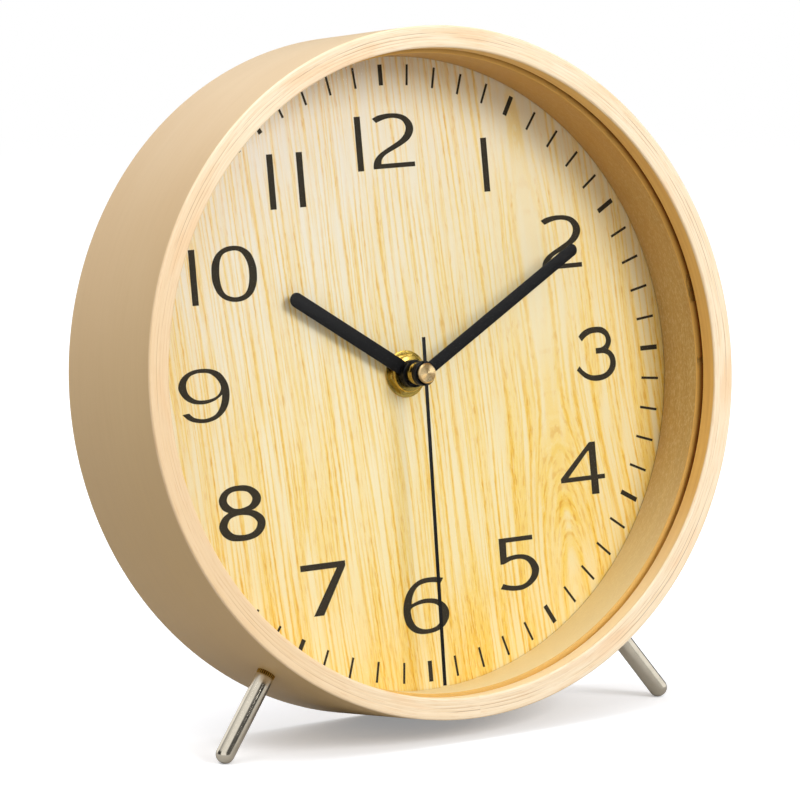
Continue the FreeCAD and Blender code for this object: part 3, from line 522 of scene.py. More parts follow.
KNURLS = 26
FINISH = {
    "bent_plywood": bent_plywood(),
    "liner_wood": liner_wood(),
    "dial_veneer": dial_veneer(),
    "fibreboard": fibreboard(),
    "lens_glass": lens_glass(),
    "polished_nickel": metal("polished_nickel", "efe6d4", "d3cab8", 0.14, (1, 1, 40)),
    "brass": metal("brass", "d9bd66", "a88a34", 0.24),
    "knurled_brass": metal("knurled_brass", "c9a050", "9c7428", 0.3, knurls=KNURLS),
    "turned_brass": metal("turned_brass", "f2dcae", "e0bd82", 0.3, turned_face=0.75),
    "black_rubber": plastic("black_rubber", "1c1c1c", "262626", 0.8, 0.5, 0.02),
    "black_hand_paint": hand_paint(),
    "dial_ink": dial_ink(),
    "black_plastic": plastic("black_plastic", "1d1e20", "26272a", 0.5, 0.25, 0.015),
    "white_plastic": plastic("white_plastic", "e9e6dd", "d9d5c9", 0.4),
    "steel": metal("steel", "c9cbcd", "a9abad", 0.3, (30, 1, 1)),
    "magnet": metal("magnet", "6c6d70", "505155", 0.45),
    "copper_wire": striped("copper_wire", "c46a34", "8a3f1c", 0.25, 0.3, 1.0),
    "green_board": plastic("green_board", "1f5d3a", "184a2e", 0.4),
    "black_resin": plastic("black_resin", "18181a", "222224", 0.35),
    "crystal_can": metal("crystal_can", "dfe0e0", "bfc2c4", 0.25, (1, 30, 1)),
    "battery_sleeve": sleeve(),
}


# Shapes

# Points closer together than the first are one, and points nearer the axis than the second are on
# it, in mm.
SAME_POINT = 1e-5
AT_AXIS = 1e-9


def rounded_corners(corners, steps=5):
    """Points round a run of corners, each (x, y) or (x, y, rounding), joined in a ring."""
    points = []
    for spot, corner in enumerate(corners):
        here = Vector(corner[:2])
        size = corner[2] if len(corner) > 2 else 0
        if not size:
            points.append(here)
            continue
        back = (Vector(corners[spot - 1][:2]) - here).normalized()
        ahead = (Vector(corners[(spot + 1) % len(corners)][:2]) - here).normalized()
        half = back.angle(ahead) / 2
        reach = size / math.tan(half)
        middle = here + (back + ahead).normalized() * (size / math.sin(half))
        first = here + back * reach - middle
        sweep = first.angle_signed(here + ahead * reach - middle)
        for step in range(steps + 1):
            swung = first.copy()
            swung.rotate(Matrix.Rotation(-sweep * step / steps, 2))
            points.append(middle + swung)
    return points


def tidied(shape, name, sharp=32):
    """The mesh of a bmesh drawn in mm, with its faces turned out and its edges kept crisp."""
    bmesh.ops.remove_doubles(shape, verts=shape.verts, dist=SAME_POINT)
    bmesh.ops.recalc_face_normals(shape, faces=shape.faces)
    bmesh.ops.scale(shape, vec=(MM,) * 3, verts=shape.verts)
    mesh = bpy.data.meshes.new(name)
    shape.to_mesh(mesh)
    shape.free()
    mesh.shade_smooth()
    mesh.set_sharp_from_angle(angle=math.radians(sharp))
    return mesh


def turned(name, profile, steps=192, sharp=32):
    """A piece turned about the axis. The profile is a ring of (radius, depth) points, or a call
    that gives such a ring for each angle."""
    shape = bmesh.new()
    rings = []
    for step in range(steps):
        angle = math.tau * step / steps
        points = profile(angle) if callable(profile) else profile
        way = Vector((math.sin(angle), math.cos(angle)))
        rings.append([shape.verts.new((*(way * max(r, 0)), z)) for r, z in points])
    for one, two in zip(rings, rings[1:] + rings[:1]):
        for spot in range(len(one)):
            corners = [one[spot - 1], one[spot], two[spot], two[spot - 1]]
            if one[spot - 1].co.xy.length < AT_AXIS and one[spot].co.xy.length < AT_AXIS:
                continue
            shape.faces.new(corners)
    return tidied(shape, name, sharp)


def plate(name, outlines, back, front, bevel=0.0, rings=2):
    """A flat piece cut to outlines, with softened edges."""
    drawing = bpy.data.curves.new(name, "CURVE")
    drawing.dimensions = "2D"
    drawing.fill_mode = "BOTH"
    drawing.extrude = (front - back) / 2 - bevel
    drawing.bevel_depth = bevel
    drawing.bevel_resolution = rings
    drawing.offset = -bevel
    for outline in outlines:
        line = drawing.splines.new("POLY")
        line.points.add(len(outline) - 1)
        line.use_cyclic_u = True
        for point, (x, y) in zip(line.points, outline):
            point.co = (x, y, 0, 1)
    holder = bpy.data.objects.new(name, drawing)
    cut = bpy.data.meshes.new_from_object(holder)
    shape = bmesh.new()
    shape.from_mesh(cut)
    bmesh.ops.translate(shape, vec=(0, 0, (front + back) / 2), verts=shape.verts)
    bpy.data.objects.remove(holder)
    bpy.data.curves.remove(drawing)
    bpy.data.meshes.remove(cut)
    return tidied(shape, name)


def joined(name, meshes):
    """Several meshes as one."""
    shape = bmesh.new()
    for mesh in meshes:
        shape.from_mesh(mesh)
        bpy.data.meshes.remove(mesh)
    whole = bpy.data.meshes.new(name)
    shape.to_mesh(whole)
    shape.free()
    return whole


def place(name, mesh, body, slot, *stands_for, finish=None, at=CLOCK):
    """Puts a piece in the clock, on its body and in its finish, which is its slot's own if not given."""
    mesh.name = name
    thing = bpy.data.objects.new(name, mesh)
    bpy.context.scene.collection.objects.link(thing)
    thing.matrix_world = at
    mesh.materials.append(FINISH[finish or slot])
    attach(thing, body)
    if stands_for:
        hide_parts(*stands_for)


# Drum, glass, liner, hoop and board

drum = Measured("case_drum")
lens = Measured("glass_lens")
face = Measured("dial_face")
board = Measured("dial_board")
hoop = Measured("retaining_hoop")

FRONT_ROUND = 0.55
REAR_ROUND = 1.0
LIP_ROUND = 0.6
GROOVE_DEPTH = 0.02
GROOVE_HALF = 0.12
LIP = min(drum.radii)
SEAT = min(r for r, p in zip(drum.radii, drum.points) if p.z < lens.front - 1)


def drum_profile(angle):
    """The drum's section, with its glue lines just below the sanded rim."""
    wander = 0.12 * math.sin(3 * angle + 1) + 0.07 * math.sin(11 * angle)
    corners = [
        (SEAT, drum.back, 0.4),
        (drum.outer, drum.back, REAR_ROUND),
        (drum.outer, drum.front, FRONT_ROUND),
    ]
    for radius, *_ in GLUE_LINES[:OPEN_LINES]:
        at = radius + wander
        corners += [(at + GROOVE_HALF, 0.0), (at, -GROOVE_DEPTH), (at - GROOVE_HALF, 0.0)]
    corners += [(LIP, drum.front, LIP_ROUND), (LIP, lens.front, 0.15), (SEAT, lens.front)]
    return rounded_corners(corners)


place("drum", turned("drum", drum_profile, 320), "case", "bent_plywood", "case_drum")

GLASS_EDGE = 0.25
place(
    "glass",
    turned("glass", rounded_corners([
        (0, lens.back), (lens.outer, lens.back, GLASS_EDGE), (lens.outer, lens.front, GLASS_EDGE),
        (0, lens.front),
    ])),
    "case", "lens_glass", "glass_lens",
)


def ring_of(size, soft):
    """The section of a plain ring with softened edges."""
    return rounded_corners([
        (size.inner, size.back, soft), (size.outer, size.back, soft),
        (size.outer, size.front, soft), (size.inner, size.front, soft),
    ], 3)


place("liner", turned("liner", ring_of(LINER, 0.35), 320), "case", "liner_wood", "spacer_ring")
place("hoop", turned("hoop", ring_of(hoop, 0.5), 256), "case", "liner_wood", "retaining_hoop")
place("dial", turned("dial", ring_of(face, 0.02), 256), "case", "dial_veneer", "dial_face")
place("board", turned("board", ring_of(board, 0.25), 256), "case", "fibreboard", "dial_board")

# Numerals, drawn on the dial in mm. A point marked C ends one smooth run and starts the next.

RUN_STEPS = 7


def smooth_run(points):
    """Points along a smooth line through a run of points."""
    if len(points) == 2:
        return [points[0]]
    ends = [points[0], *points, points[-1]]
    path = []
    for a, b, c, d in zip(ends, ends[1:], ends[2:], ends[3:]):
        for step in range(RUN_STEPS):
            t = step / RUN_STEPS
            path.append(
                0.5 * (2 * b + (c - a) * t + (2 * a - 5 * b + 4 * c - d) * t ** 2
                       + (3 * b - a - 3 * c + d) * t ** 3)
            )
    return path


def smooth_outline(points):
    """A closed outline, smooth but at its corners."""
    spots = [Vector(p[:2]) for p in points]
    corners = [i for i, p in enumerate(points) if len(p) > 2]
    if not corners:
        lead = 3
        wrapped = smooth_run(spots[-lead:] + spots + spots[:lead])
        return wrapped[RUN_STEPS * lead:RUN_STEPS * (lead + len(spots))]
    path = []
    for one, two in zip(corners, corners[1:] + [corners[0] + len(points)]):
        path += smooth_run([spots[i % len(points)] for i in range(one, two + 1)])
    return path


C = "corner"
ONE = [[(0, 0, C), (2.12, 0, C), (2.12, 16.15, C), (0, 16.15, C)]]
TWO = [[
    (0.8, 14.9, C), (2.6, 15.65), (5.0, 16.05), (7.2, 16.15), (10.0, 15.9), (12.5, 15.05),
    (14.3, 13.4), (15.0, 11.6), (14.6, 9.8), (13.2, 8.1), (11.0, 6.8), (8.0, 5.5), (5.3, 4.4),
    (3.7, 3.4), (3.0, 2.4), (2.8, 1.4, C), (14.6, 1.4, C), (14.6, 0, C), (0, 0, C), (0.05, 1.1),
    (0.6, 2.7), (2.1, 4.2), (4.4, 5.5), (7.4, 6.9), (10.0, 8.25), (11.6, 9.7), (12.3, 11.3),
    (12.1, 12.6), (11.1, 13.9), (9.2, 14.6), (7.0, 14.75), (4.6, 14.4), (2.1, 13.6, C),
]]
THREE = [[
    (1.6, 13.9, C), (3.0, 15.2), (5.4, 16.2), (8.0, 16.4), (10.6, 16.05), (12.5, 14.6),
    (13.4, 12.6), (13.3, 11.0), (12.2, 9.2, C), (13.4, 8.3), (14.4, 6.6), (14.5, 4.2),
    (13.3, 2.1), (11.0, 0.6), (8.0, 0.0), (5.0, 0.3), (2.3, 1.6), (0, 3.8, C), (1.1, 5.0, C),
    (2.6, 3.3), (5.0, 2.0), (7.5, 1.75), (10.0, 2.1), (11.8, 3.4), (12.55, 5.4), (12.0, 7.2),
    (10.5, 8.1), (8.6, 8.2), (7.55, 8.2, C), (7.55, 9.95, C), (9.5, 10.0), (11.0, 10.7),
    (11.6, 12.0), (11.2, 13.4), (9.7, 14.4), (8.0, 14.6), (6.0, 14.4), (4.2, 13.6),
    (2.7, 12.4, C),
]]
FOUR = [
    [
        (11.4, 15.9, C), (13.55, 15.9, C), (13.6, 5.8, C), (16.25, 5.8, C), (16.25, 4.4, C),
        (13.7, 4.4, C), (13.75, 0, C), (11.0, 0, C), (11.05, 4.4, C), (0, 4.4, C), (0, 5.7, C),
    ],
    [(11.05, 13.3, C), (10.5, 13.1, C), (2.85, 5.8, C), (11.05, 5.8, C)],
]
FIVE = [[
    (0.7, 16.1, C), (12.9, 16.1, C), (12.9, 14.7, C), (3.25, 14.7, C), (3.1, 10.3, C),
    (4.7, 10.6), (7.2, 10.75), (10.2, 10.3), (12.7, 8.9), (14.2, 6.8), (14.4, 5.2), (13.5, 3.1),
    (11.2, 1.2), (8.2, 0.1), (5.2, 0), (2.7, 0.35), (0, 1.0, C), (1.15, 2.5, C), (3.2, 1.8),
    (5.7, 1.45), (8.2, 1.6), (10.2, 2.6), (11.5, 4.2), (11.7, 5.8), (11.0, 7.6), (9.5, 8.9),
    (7.2, 9.4), (4.7, 9.2), (3.1, 8.7), (1.9, 8.35), (0.7, 8.3, C),
]]
SIX = [
    [
        (14.9, 15.9, C), (12.7, 16.4), (9.7, 16.55), (6.7, 16.2), (3.7, 14.7), (1.4, 12.2),
        (0.15, 9.0), (0, 6.0), (0.8, 3.2), (2.7, 1.2), (5.2, 0.2), (8.2, 0), (11.2, 0.4),
        (13.9, 1.6), (15.7, 3.8), (16.0, 6.0), (15.1, 7.8), (13.5, 9.2), (11.2, 10.1),
        (8.2, 10.4), (5.7, 10.1), (3.05, 9.3, C), (3.4, 11.0), (4.5, 13.1), (6.2, 14.5),
        (8.7, 15.05), (11.2, 15.0), (13.9, 14.5, C),
    ],
    [
        (2.7, 7.8), (4.2, 8.6), (6.7, 9.05), (9.2, 9.0), (11.5, 8.4), (12.9, 7.1), (13.2, 5.5),
        (12.7, 3.3), (11.2, 1.9), (8.7, 1.35), (6.2, 1.6), (4.1, 2.7), (3.0, 4.5), (2.6, 6.3),
    ],
]
SEVEN = [[
    (0, 15.3, C), (15.5, 15.3, C), (15.5, 13.9, C), (15.0, 13.0, C), (6.8, 0, C), (3.3, 0, C),
    (12.5, 13.5, C), (0, 13.5, C),
]]
EIGHT = [
    [
        (7.6, 16.15), (10.6, 15.85), (13.3, 14.55), (14.8, 12.55), (14.5, 10.55), (12.9, 9.15),
        (11.5, 8.65, C), (13.3, 7.95), (15.2, 6.35), (15.7, 4.35), (14.7, 2.25), (12.6, 0.75),
        (9.6, 0.05), (6.6, 0), (3.6, 0.45), (1.3, 1.85), (0.1, 3.85), (0.2, 5.55), (1.5, 7.35),
        (3.5, 8.55, C), (1.7, 9.55), (0.7, 11.35), (0.8, 12.95), (2.1, 14.65), (4.6, 15.85),
    ],
    [
        (7.6, 14.55), (10.3, 14.05), (11.7, 12.65), (11.8, 11.45), (10.7, 10.15), (8.1, 9.45),
        (5.6, 9.65), (3.9, 10.85), (3.3, 12.15), (3.9, 13.55), (5.3, 14.35),
    ],
    [
        (8.1, 7.5), (10.8, 6.95), (12.6, 5.55), (12.9, 4.35), (11.9, 2.75), (9.8, 1.85),
        (7.1, 1.75), (4.6, 2.35), (3.1, 3.85), (2.9, 5.05), (3.9, 6.65), (5.8, 7.35),
    ],
]
NINE = [
    [
        (8.2, 15.6), (11.7, 15.15), (14.5, 13.75), (16.4, 11.05), (16.95, 8.15), (16.4, 5.15),
        (14.9, 2.75), (12.2, 0.85), (8.7, 0), (5.2, 0.25), (2.5, 1.25), (0.6, 2.95, C),
        (2.9, 3.15, C), (4.4, 1.85), (6.7, 1.2), (8.9, 1.2), (11.4, 1.95), (13.1, 3.65),
        (14.1, 5.85), (14.4, 7.55, C), (12.2, 6.25), (9.7, 5.55), (7.2, 5.4), (4.2, 5.95),
        (1.7, 7.45), (0.1, 9.95), (0.3, 11.95), (1.8, 13.85), (4.7, 15.25),
    ],
    [
        (8.2, 14.45), (10.9, 13.95), (13.2, 12.05), (14.2, 9.85), (13.5, 8.05), (11.7, 6.95),
        (8.7, 6.5), (5.7, 6.85), (3.5, 8.35), (2.7, 10.25), (2.9, 12.15), (4.3, 13.75),
        (6.2, 14.35),
    ],
]
NOUGHT = [
    [
        (7.7, 16.3), (10.9, 15.75), (13.6, 13.85), (15.0, 10.75), (15.3, 8.15), (14.9, 4.95),
        (13.4, 2.15), (10.8, 0.45), (7.6, 0), (4.2, 0.75), (1.6, 2.75), (0.2, 5.95), (0, 8.45),
        (0.4, 11.45), (2.0, 14.15), (4.7, 15.85),
    ],
    [
        (7.7, 14.9), (10.1, 14.4), (11.7, 12.5), (12.6, 9.75), (12.55, 6.45), (11.8, 3.65),
        (10.3, 1.95), (7.6, 1.35), (4.9, 2.05), (3.4, 3.65), (2.7, 6.45), (2.7, 9.45),
        (3.3, 12.45), (4.7, 14.25),
    ],
]
# Each digit with its lower left corner on the dial.
PRINTED = (
    (ONE, 33.43, 51.7), (TWO, 52.0, 26.6), (THREE, 61.5, -8.4), (FOUR, 52.35, -42.5),
    (FIVE, 27.3, -68.4), (SIX, -7.7, -77.5), (SEVEN, -42.0, -67.9), (EIGHT, -68.1, -43.15),
    (NINE, -77.7, -7.85), (ONE, -70.6, 26.05), (NOUGHT, -63.4, 26.05), (ONE, -41.65, 51.75),
    (ONE, -31.5, 51.75), (ONE, -10.5, 60.75), (TWO, -5.0, 61.05),
)
INK = 0.03
INK_LIFT = 0.01
ink_back, ink_front = face.front + INK_LIFT, face.front + INK_LIFT + INK
digits = []
for digit, left, foot in PRINTED:
    outlines = [[p + Vector((left, foot)) for p in smooth_outline(o)] for o in digit]
    digits.append(plate("digit", outlines, ink_back, ink_front))
place("numerals", joined("numerals", digits), "case", "black_hand_paint", finish="dial_ink")

MARK_INNER = 85.6
MARK_OUTER = 91.8
MARK_THIN = 0.75
MARK_THICK = 1.45
marks = []
for minute in range(60):
    half = (MARK_THIN if minute % 5 else MARK_THICK) / 2
    swing = Matrix.Rotation(-math.radians(6 * minute), 2)
    box = [(-half, MARK_INNER), (half, MARK_INNER), (half, MARK_OUTER), (-half, MARK_OUTER)]
    outline = [swing.transposed() @ Vector(p) for p in box]
    marks.append(plate("mark", [outline], ink_back, ink_front))
place("minute_marks", joined("minute_marks", marks), "case", "black_hand_paint", finish="dial_ink")

# Bush, washer, gasket and nut

bush = Measured("threaded_bush")
washer = Measured("dial_washer")
nut = Measured("hex_nut")
gasket = Measured("rubber_gasket")
THREAD_PITCH = 0.75
THREAD_DEPTH = 0.28
THREAD_STEP = 0.12


def thread_profile(angle):
    """The bush's section with its thread, which climbs as it goes round."""
    top = bush.front - 0.2
    low = washer.back
    root = bush.outer - THREAD_DEPTH
    count = int((top - low) / THREAD_STEP)
    corners = [(bush.inner, bush.back), (root, bush.back)]
    for step in range(count + 1):
        depth = low + (top - low) * step / count
        phase = (depth / THREAD_PITCH + angle / math.tau) % 1
        corners.append((bush.outer - THREAD_DEPTH * abs(2 * phase - 1), depth))
    return corners + [(root, bush.front), (bush.inner, bush.front)]


place("bush", turned("bush", thread_profile, 144, 50), "case", "brass", "threaded_bush")
place("washer", turned("washer", ring_of(washer, 0.12), 144), "case", "brass", "dial_washer")
place("gasket", turned("gasket", ring_of(gasket, 0.2), 96), "case", "black_rubber", "rubber_gasket")

NUT_FLATS = nut.outer * math.cos(math.radians(30))
NUT_TURN = min(
    math.degrees(math.atan2(p.x, p.y)) % 60 for p in nut.points if p.xy.length > nut.outer - 0.05
)
NUT_CONE = nut.outer * 0.93
NUT_SLOPE = math.tan(math.radians(30))


def nut_profile(angle):
    """The nut's section: flats all round, and corners cut back by a cone."""
    off = (math.degrees(angle) - NUT_TURN) % 60 - 30
    wall = NUT_FLATS / math.cos(math.radians(off))
    drop = max(wall - NUT_CONE, 0) * NUT_SLOPE + 0.02
    top = min(wall, NUT_CONE) - 0.05
    hole = nut.inner
    return [
        (hole, nut.back), (wall - 0.05, nut.back), (wall, nut.back + 0.05),
        (wall, nut.front - drop), (top, nut.front), (hole + 0.35, nut.front),
        (hole, nut.front - 0.3),
    ]


place("nut", turned("nut", nut_profile, 180, 25), "case", "brass", "hex_nut")

# Hands

TIP_STEPS = 16


def blade(tip, width, start, end, rounded=True):
    """The outline of a straight hand from start to end along the way to its tip."""
    way = tip.xy.normalized()
    side = Vector((way.y, -way.x))
    half = width / 2
    outline = [way * start - side * half, way * start + side * half]
    if not rounded:
        return outline + [way * end + side * half, way * end - side * half]
    middle = way * (end - half)
    for step in range(TIP_STEPS + 1):
        angle = math.pi * step / TIP_STEPS
        outline.append(middle + side * (half * math.cos(angle)) + way * (half * math.sin(angle)))
    return outline


def boss(name, radius, size):
    """The round boss of a hand, with softened edges."""
    return turned(name, rounded_corners([
        (size.inner, size.back, 0.05), (radius, size.back, 0.2), (radius, size.front, 0.2),
        (size.inner, size.front, 0.1),
    ], 4), 96)


HOUR_WIDTH = 4.4
MINUTE_WIDTH = 3.7
SECOND_WIDTH = 1.1
BEYOND_BOSS = 20
hour = Measured("hour_hand")
minute = Measured("minute_hand")
second = Measured("second_hand")


def levels(size, beyond):
    """The depths between which a hand's blade lies, read well away from its boss."""
    depths = [p.z for p in size.points if p.xy.length > beyond]
    return min(depths), max(depths)


def boss_radius(size, off_blade):
    """The outer radius of a hand's boss, read away from its blade."""
    way = size.tip.xy.normalized()
    return max(p.xy.length for p in size.points if p.xy.dot(way) < -off_blade)


for node, size, width in (("hour_hand", hour, HOUR_WIDTH), ("minute_hand", minute, MINUTE_WIDTH)):
    low, high = levels(size, BEYOND_BOSS)
    flat = plate("blade", [blade(size.tip, width, size.inner, size.outer)], low, high, 0.1, 3)
    hub = boss("boss", boss_radius(size, 1), size)
    place(node + "_painted", joined(node, [flat, hub]), node, "black_hand_paint", node)

way = second.tip.xy.normalized()
TAIL = max(-p.xy.dot(way) for p in second.points)
low, high = levels(second, BEYOND_BOSS)
needle = plate(
    "needle", [blade(second.tip, SECOND_WIDTH, -TAIL, second.outer, rounded=False)],
    low, high, 0.06, 2,
)
SECOND_DISC = max(abs(p.xy.cross(way)) for p in second.points)
disc = turned("disc", rounded_corners([
    (0, second.back), (SECOND_DISC, second.back, 0.05), (SECOND_DISC, second.front, 0.05),
    (0, second.front),
], 3), 96)
place(
    "second_hand_painted", joined("needle", [needle, disc]), "second_hand", "black_hand_paint",
    "second_hand",
)

cap = Measured("second_cap")
CAP_BEVEL = 0.4
RING_PITCH = 0.14
RING_DEPTH = 0.012


def cap_profile():
    """The cap's section: a bevelled front with fine turning rings."""
    corners = [(0, cap.back), (cap.outer, cap.back, 0.08), (cap.outer, cap.front - CAP_BEVEL)]
    corners.append((cap.outer - CAP_BEVEL, cap.front))
    radius = cap.outer - CAP_BEVEL - 0.15
    while radius > RING_PITCH + 0.06:
        corners.append((radius, cap.front - (RING_DEPTH if len(corners) % 2 else 0.0)))
        radius -= RING_PITCH
    return rounded_corners(corners + [(0, cap.front)])


place(
    "cap", turned("cap", cap_profile(), 128, 20), "second_hand", "brass", "second_cap",
    finish="turned_brass",
)

collet = Measured("minute_collet")
middle = (collet.back + collet.front) / 2
place(
    "collet",
    turned("collet", rounded_corners([
        (collet.inner, collet.back, 0.05), (collet.outer, collet.back, 0.12),
        (collet.outer, middle - 0.25, 0.05), (collet.outer - 0.12, middle - 0.2),
        (collet.outer - 0.12, middle + 0.2), (collet.outer, middle + 0.25, 0.05),
        (collet.outer, collet.front, 0.12), (collet.inner, collet.front, 0.05),
    ], 3), 96),
    "minute_hand", "brass", "minute_collet",
)

# Pegs and their inserts

KNURL = 0.25


def along(node):
    """The frame of a peg or insert, with Z outwards along it, and its points as (radius, reach)."""
    local = [INTO_CLOCK @ v.co / MM for v in frame["nodes"][node].data.vertices]
    level = (max(p.z for p in local) + min(p.z for p in local)) / 2
    out = sum((p.xy for p in local), Vector((0, 0))).normalized()
    axis = out.to_3d()
    side = Vector((0, 0, 1)).cross(axis)
    lie = Matrix((side, axis.cross(side), axis)).transposed().to_4x4()
    points = [(math.hypot(p.xy.cross(out), p.z - level), p.xy.dot(out)) for p in local]
    return CLOCK @ Matrix.Translation((0, 0, level * MM)) @ lie, points


def knurled(inner, outer, deep, seat):
    """The section of a threaded insert for each angle, with a knurled edge."""

    def section(angle):
        rim = outer - KNURL * (0.5 + 0.5 * math.cos(KNURLS * angle))
        return [
            (inner, deep), (rim - 0.3, deep), (rim, deep + 0.3), (rim, seat - 0.2),
            (rim - 0.2, seat), (inner, seat),
        ]

    return section


for side in ("left", "right"):
    at, points = along("peg_insert_" + side)
    inner, outer = min(r for r, reach in points), max(r for r, reach in points)
    deep, seat = min(reach for r, reach in points), max(reach for r, reach in points)
    place(
        "insert_" + side, turned("insert", knurled(inner, outer, deep, seat), KNURLS * 6),
        "case", "brass", "peg_insert_" + side, finish="knurled_brass", at=at,
    )
    at, points = along("peg_" + side)
    low, high = min(reach for r, reach in points), max(reach for r, reach in points)
    stud = max(r for r, reach in points if reach < low + 2)
    half = max(r for r, reach in points)
    place(
        "peg_%s_plated" % side,
        turned("peg", rounded_corners([
            (0, low), (stud, low, 0.2), (stud, seat), (half - 0.15, seat, 0.1),
            (half, seat + 0.5, 0.3), (half, high, half * 0.97), (0, high),
        ], 10), 96),
        "case", "polished_nickel", "peg_" + side, at=at,
    )

# Setting knob and battery

knob = Measured("setting_knob")
knob_sides = [p.x for p in knob.points]
knob_x = (min(knob_sides) + max(knob_sides)) / 2
knob_radius = (max(knob_sides) - min(knob_sides)) / 2
knob_hub = max(math.hypot(p.x - knob_x, p.y) for p in knob.points if p.z > knob.front - 0.1)
knob_shoulder = min(
    p.z for p in knob.points if p.z > knob.back + 0.1
    and math.hypot(p.x - knob_x, p.y) > knob_hub + 1
)
FLUTES = 30
FLUTE = 0.4


def knob_section(angle):
    """The knob for each angle: flutes round its edge and a shallow dish in its back."""
    edge = knob_radius - FLUTE * (0.5 - 0.5 * math.cos(FLUTES * angle)) ** 0.8
    return [
        (0, knob.back + 0.35), (knob_radius * 0.45, knob.back + 0.3),
        (knob_radius * 0.7, knob.back + 0.05), (edge - 0.5, knob.back), (edge - 0.2, knob.back + 0.08),
        (edge, knob.back + 0.3), (edge, knob_shoulder - 0.2), (edge - 0.2, knob_shoulder),
        (knob_hub, knob_shoulder), (knob_hub, knob.front), (0, knob.front),
    ]


place(
    "knob", turned("knob", knob_section, FLUTES * 12, 40), "time_setting", "black_plastic",
    "setting_knob", at=CLOCK @ Matrix.Translation((knob_x * MM, 0, 0)),
)

cell = Measured("battery_cell")
cell_low = Vector(min(p[axis] for p in cell.points) for axis in range(3))
cell_high = Vector(max(p[axis] for p in cell.points) for axis in range(3))
cell_radius = (cell_high.y - cell_low.y) / 2
cell_middle = (cell_low + cell_high) / 2
tip = cell_high.x - cell_low.x
nub = max(math.hypot(p.y - cell_middle.y, p.z - cell_middle.z) for p in cell.points
          if p.x > cell_high.x - 0.1)
shoulder = max(p.x for p in cell.points if p.x < cell_high.x - 0.1) - cell_low.x
place(
    "battery",
    turned("battery", rounded_corners([
        (0, 0.25), (cell_radius - 2.2, 0.25, 0.1), (cell_radius - 1.9, 0, 0.1),
        (cell_radius - 0.3, 0, 0.15), (cell_radius, 0.5, 0.3), (cell_radius, shoulder - 0.6, 0.3),
        (cell_radius - 0.7, shoulder, 0.3), (cell_radius - 1.5, shoulder, 0.1),
        (cell_radius - 1.7, shoulder - 0.3, 0.1), (nub + 0.5, shoulder - 0.3, 0.1),
        (nub, shoulder, 0.2), (nub, tip - 0.25, 0.2), (nub - 0.6, tip, 0.2), (0, tip),
    ], 4), 96),
    "case", "battery_sleeve", "battery_cell",
    at=CLOCK @ Matrix.Translation(Vector((cell_low.x, *cell_middle.yz)) * MM)
    @ Matrix.Rotation(math.radians(90), 4, "Y"),
)

# Everything else keeps its CAD shape and gets its finish. The moulded and stamped pieces get soft
# edges too.

SOFT_EDGES = {
    "movement_shell": 0.25, "movement_cover": 0.2, "circuit_chip": 0.1, "quartz_crystal": 0.1,
    "coil_bobbin": 0.15, "train_plate": 0.12,
}
for row in frame["record"]["subparts"]:
    node = frame["nodes"][row["node"]]
    if node.hide_render:
        continue
    node.data.materials.clear()
    node.data.materials.append(FINISH[row["material_slot"]])
    if row["node"] in SOFT_EDGES:
        weld = node.modifiers.new("weld", "WELD")
        weld.merge_threshold = 1e-6
        soft = node.modifiers.new("soft", "BEVEL")
        soft.width = SOFT_EDGES[row["node"]] * MM
        soft.segments = 2
        soft.limit_method = "ANGLE"
        soft.angle_limit = math.radians(50)
        soft.harden_normals = True

# Floor, world and lamps

FLOOR_HALF = 8
FLOOR_GREY = 0.46
FLOOR_GLOW = 0.28
BACKDROP_START = 350
BACKDROP_END = 1600
BANDS = 3
BANDS_TURN = 5.13
MID_HEIGHT = 0.1


def floor_and_backdrop():
    """A pale floor that keeps the clock's shadow, and turns to plain white away from it."""
    ground = Finish("floor")
    path = ground.node("ShaderNodeLightPath").socket.node
    to_camera = Shade(path.outputs["Is Camera Ray"])
    pale = ground.blend(to_camera, (FLOOR_GREY,) * 3, linear("f3f5f9"))
    shade = ground.node("ShaderNodeBsdfDiffuse", {}, {"Color": pale})
    far = ground.spread(ground.radius, BACKDROP_START, BACKDROP_END)
    glow = ground.node("ShaderNodeEmission", {}, {"Color": (1, 1, 1, 1), "Strength": FLOOR_GLOW})
    lit = ground.node("ShaderNodeAddShader", {}, {0: shade, 1: glow})
    white = ground.node("ShaderNodeEmission", {}, {"Color": (1, 1, 1, 1), "Strength": 1.0})
    seen = ground.node("ShaderNodeMixShader", {}, {0: far, 1: lit, 2: white})
    pick = ground.node("ShaderNodeMixShader", {}, {0: to_camera, 1: shade, 2: seen})
    ground.tree.links.new(pick.socket, ground.sheet.inputs["Surface"])
    shape = bmesh.new()
    bmesh.ops.create_grid(shape, x_segments=2, y_segments=2, size=FLOOR_HALF)
    mesh = bpy.data.meshes.new("floor")
    shape.to_mesh(mesh)
    shape.free()
    mesh.materials.append(ground.material)
    thing = bpy.data.objects.new("floor", mesh)
    bpy.context.scene.collection.objects.link(thing)


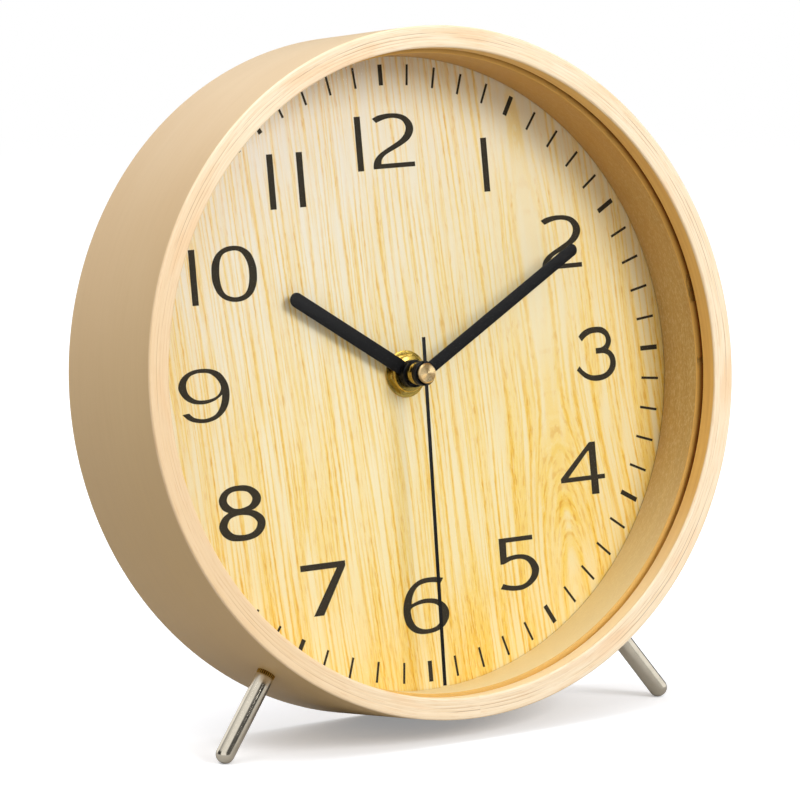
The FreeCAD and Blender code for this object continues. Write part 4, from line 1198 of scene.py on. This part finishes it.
def studio():
    """White to the camera; to the clock a bright ceiling, dim sides and, for metal, dark gaps."""
    world = bpy.data.worlds.new("studio")
    bpy.context.scene.world = world
    sky = Mixing(world)
    way = sky.node("ShaderNodeTexCoord", output="Generated")
    x, y, z = sky.apart(way)
    path = sky.node("ShaderNodeLightPath").socket.node
    level = sky.blend(sky.spread(z, -0.1, 0.9), (0.33,) * 3, (0.8,) * 3)
    soft = sky.node("ShaderNodeBackground", {}, {"Color": level, "Strength": 1.0})
    bearing = x.work("ARCTAN2", y)
    gap = sky.spread((bearing * BANDS + BANDS_TURN).work("SINE"), -0.1, 0.5)
    bands = sky.blend(gap, (1.0,) * 3, (0.04,) * 3)
    bands = sky.blend(sky.spread(z, 0.45, 0.8), bands, (0.9,) * 3)
    mirror = sky.node("ShaderNodeBackground", {}, {"Color": bands, "Strength": 1.0})
    white = sky.node("ShaderNodeBackground", {}, {"Color": (1, 1, 1, 1), "Strength": 1.0})
    glossy = Shade(path.outputs["Is Glossy Ray"])
    lit = sky.node("ShaderNodeMixShader", {}, {0: glossy, 1: soft, 2: mirror})
    to_camera = Shade(path.outputs["Is Camera Ray"])
    pick = sky.node("ShaderNodeMixShader", {}, {0: to_camera, 1: lit, 2: white})
    sheet = sky.node("ShaderNodeOutputWorld")
    sky.tree.links.new(pick.socket, sheet.inputs["Surface"])


def lamp(name, where, size, power):
    """A soft square lamp that faces the clock."""
    light = bpy.data.lights.new(name, "AREA")
    light.size = size
    light.energy = power
    thing = bpy.data.objects.new(name, light)
    thing.location = where
    facing = (Vector((0, 0, MID_HEIGHT)) - Vector(where)).to_track_quat("-Z", "Y")
    thing.rotation_euler = facing.to_euler()
    bpy.context.scene.collection.objects.link(thing)


floor_and_backdrop()
studio()
lamp("key", (0.66, -1.85, 1.22), 0.95, 26.5)
lamp("ceiling", (-0.55, 0.1, 1.8), 1.2, 16)
lamp("back", (-0.4, 1.2, 1.4), 1.0, 3)

view = bpy.context.scene.view_settings
view.view_transform = "Standard"
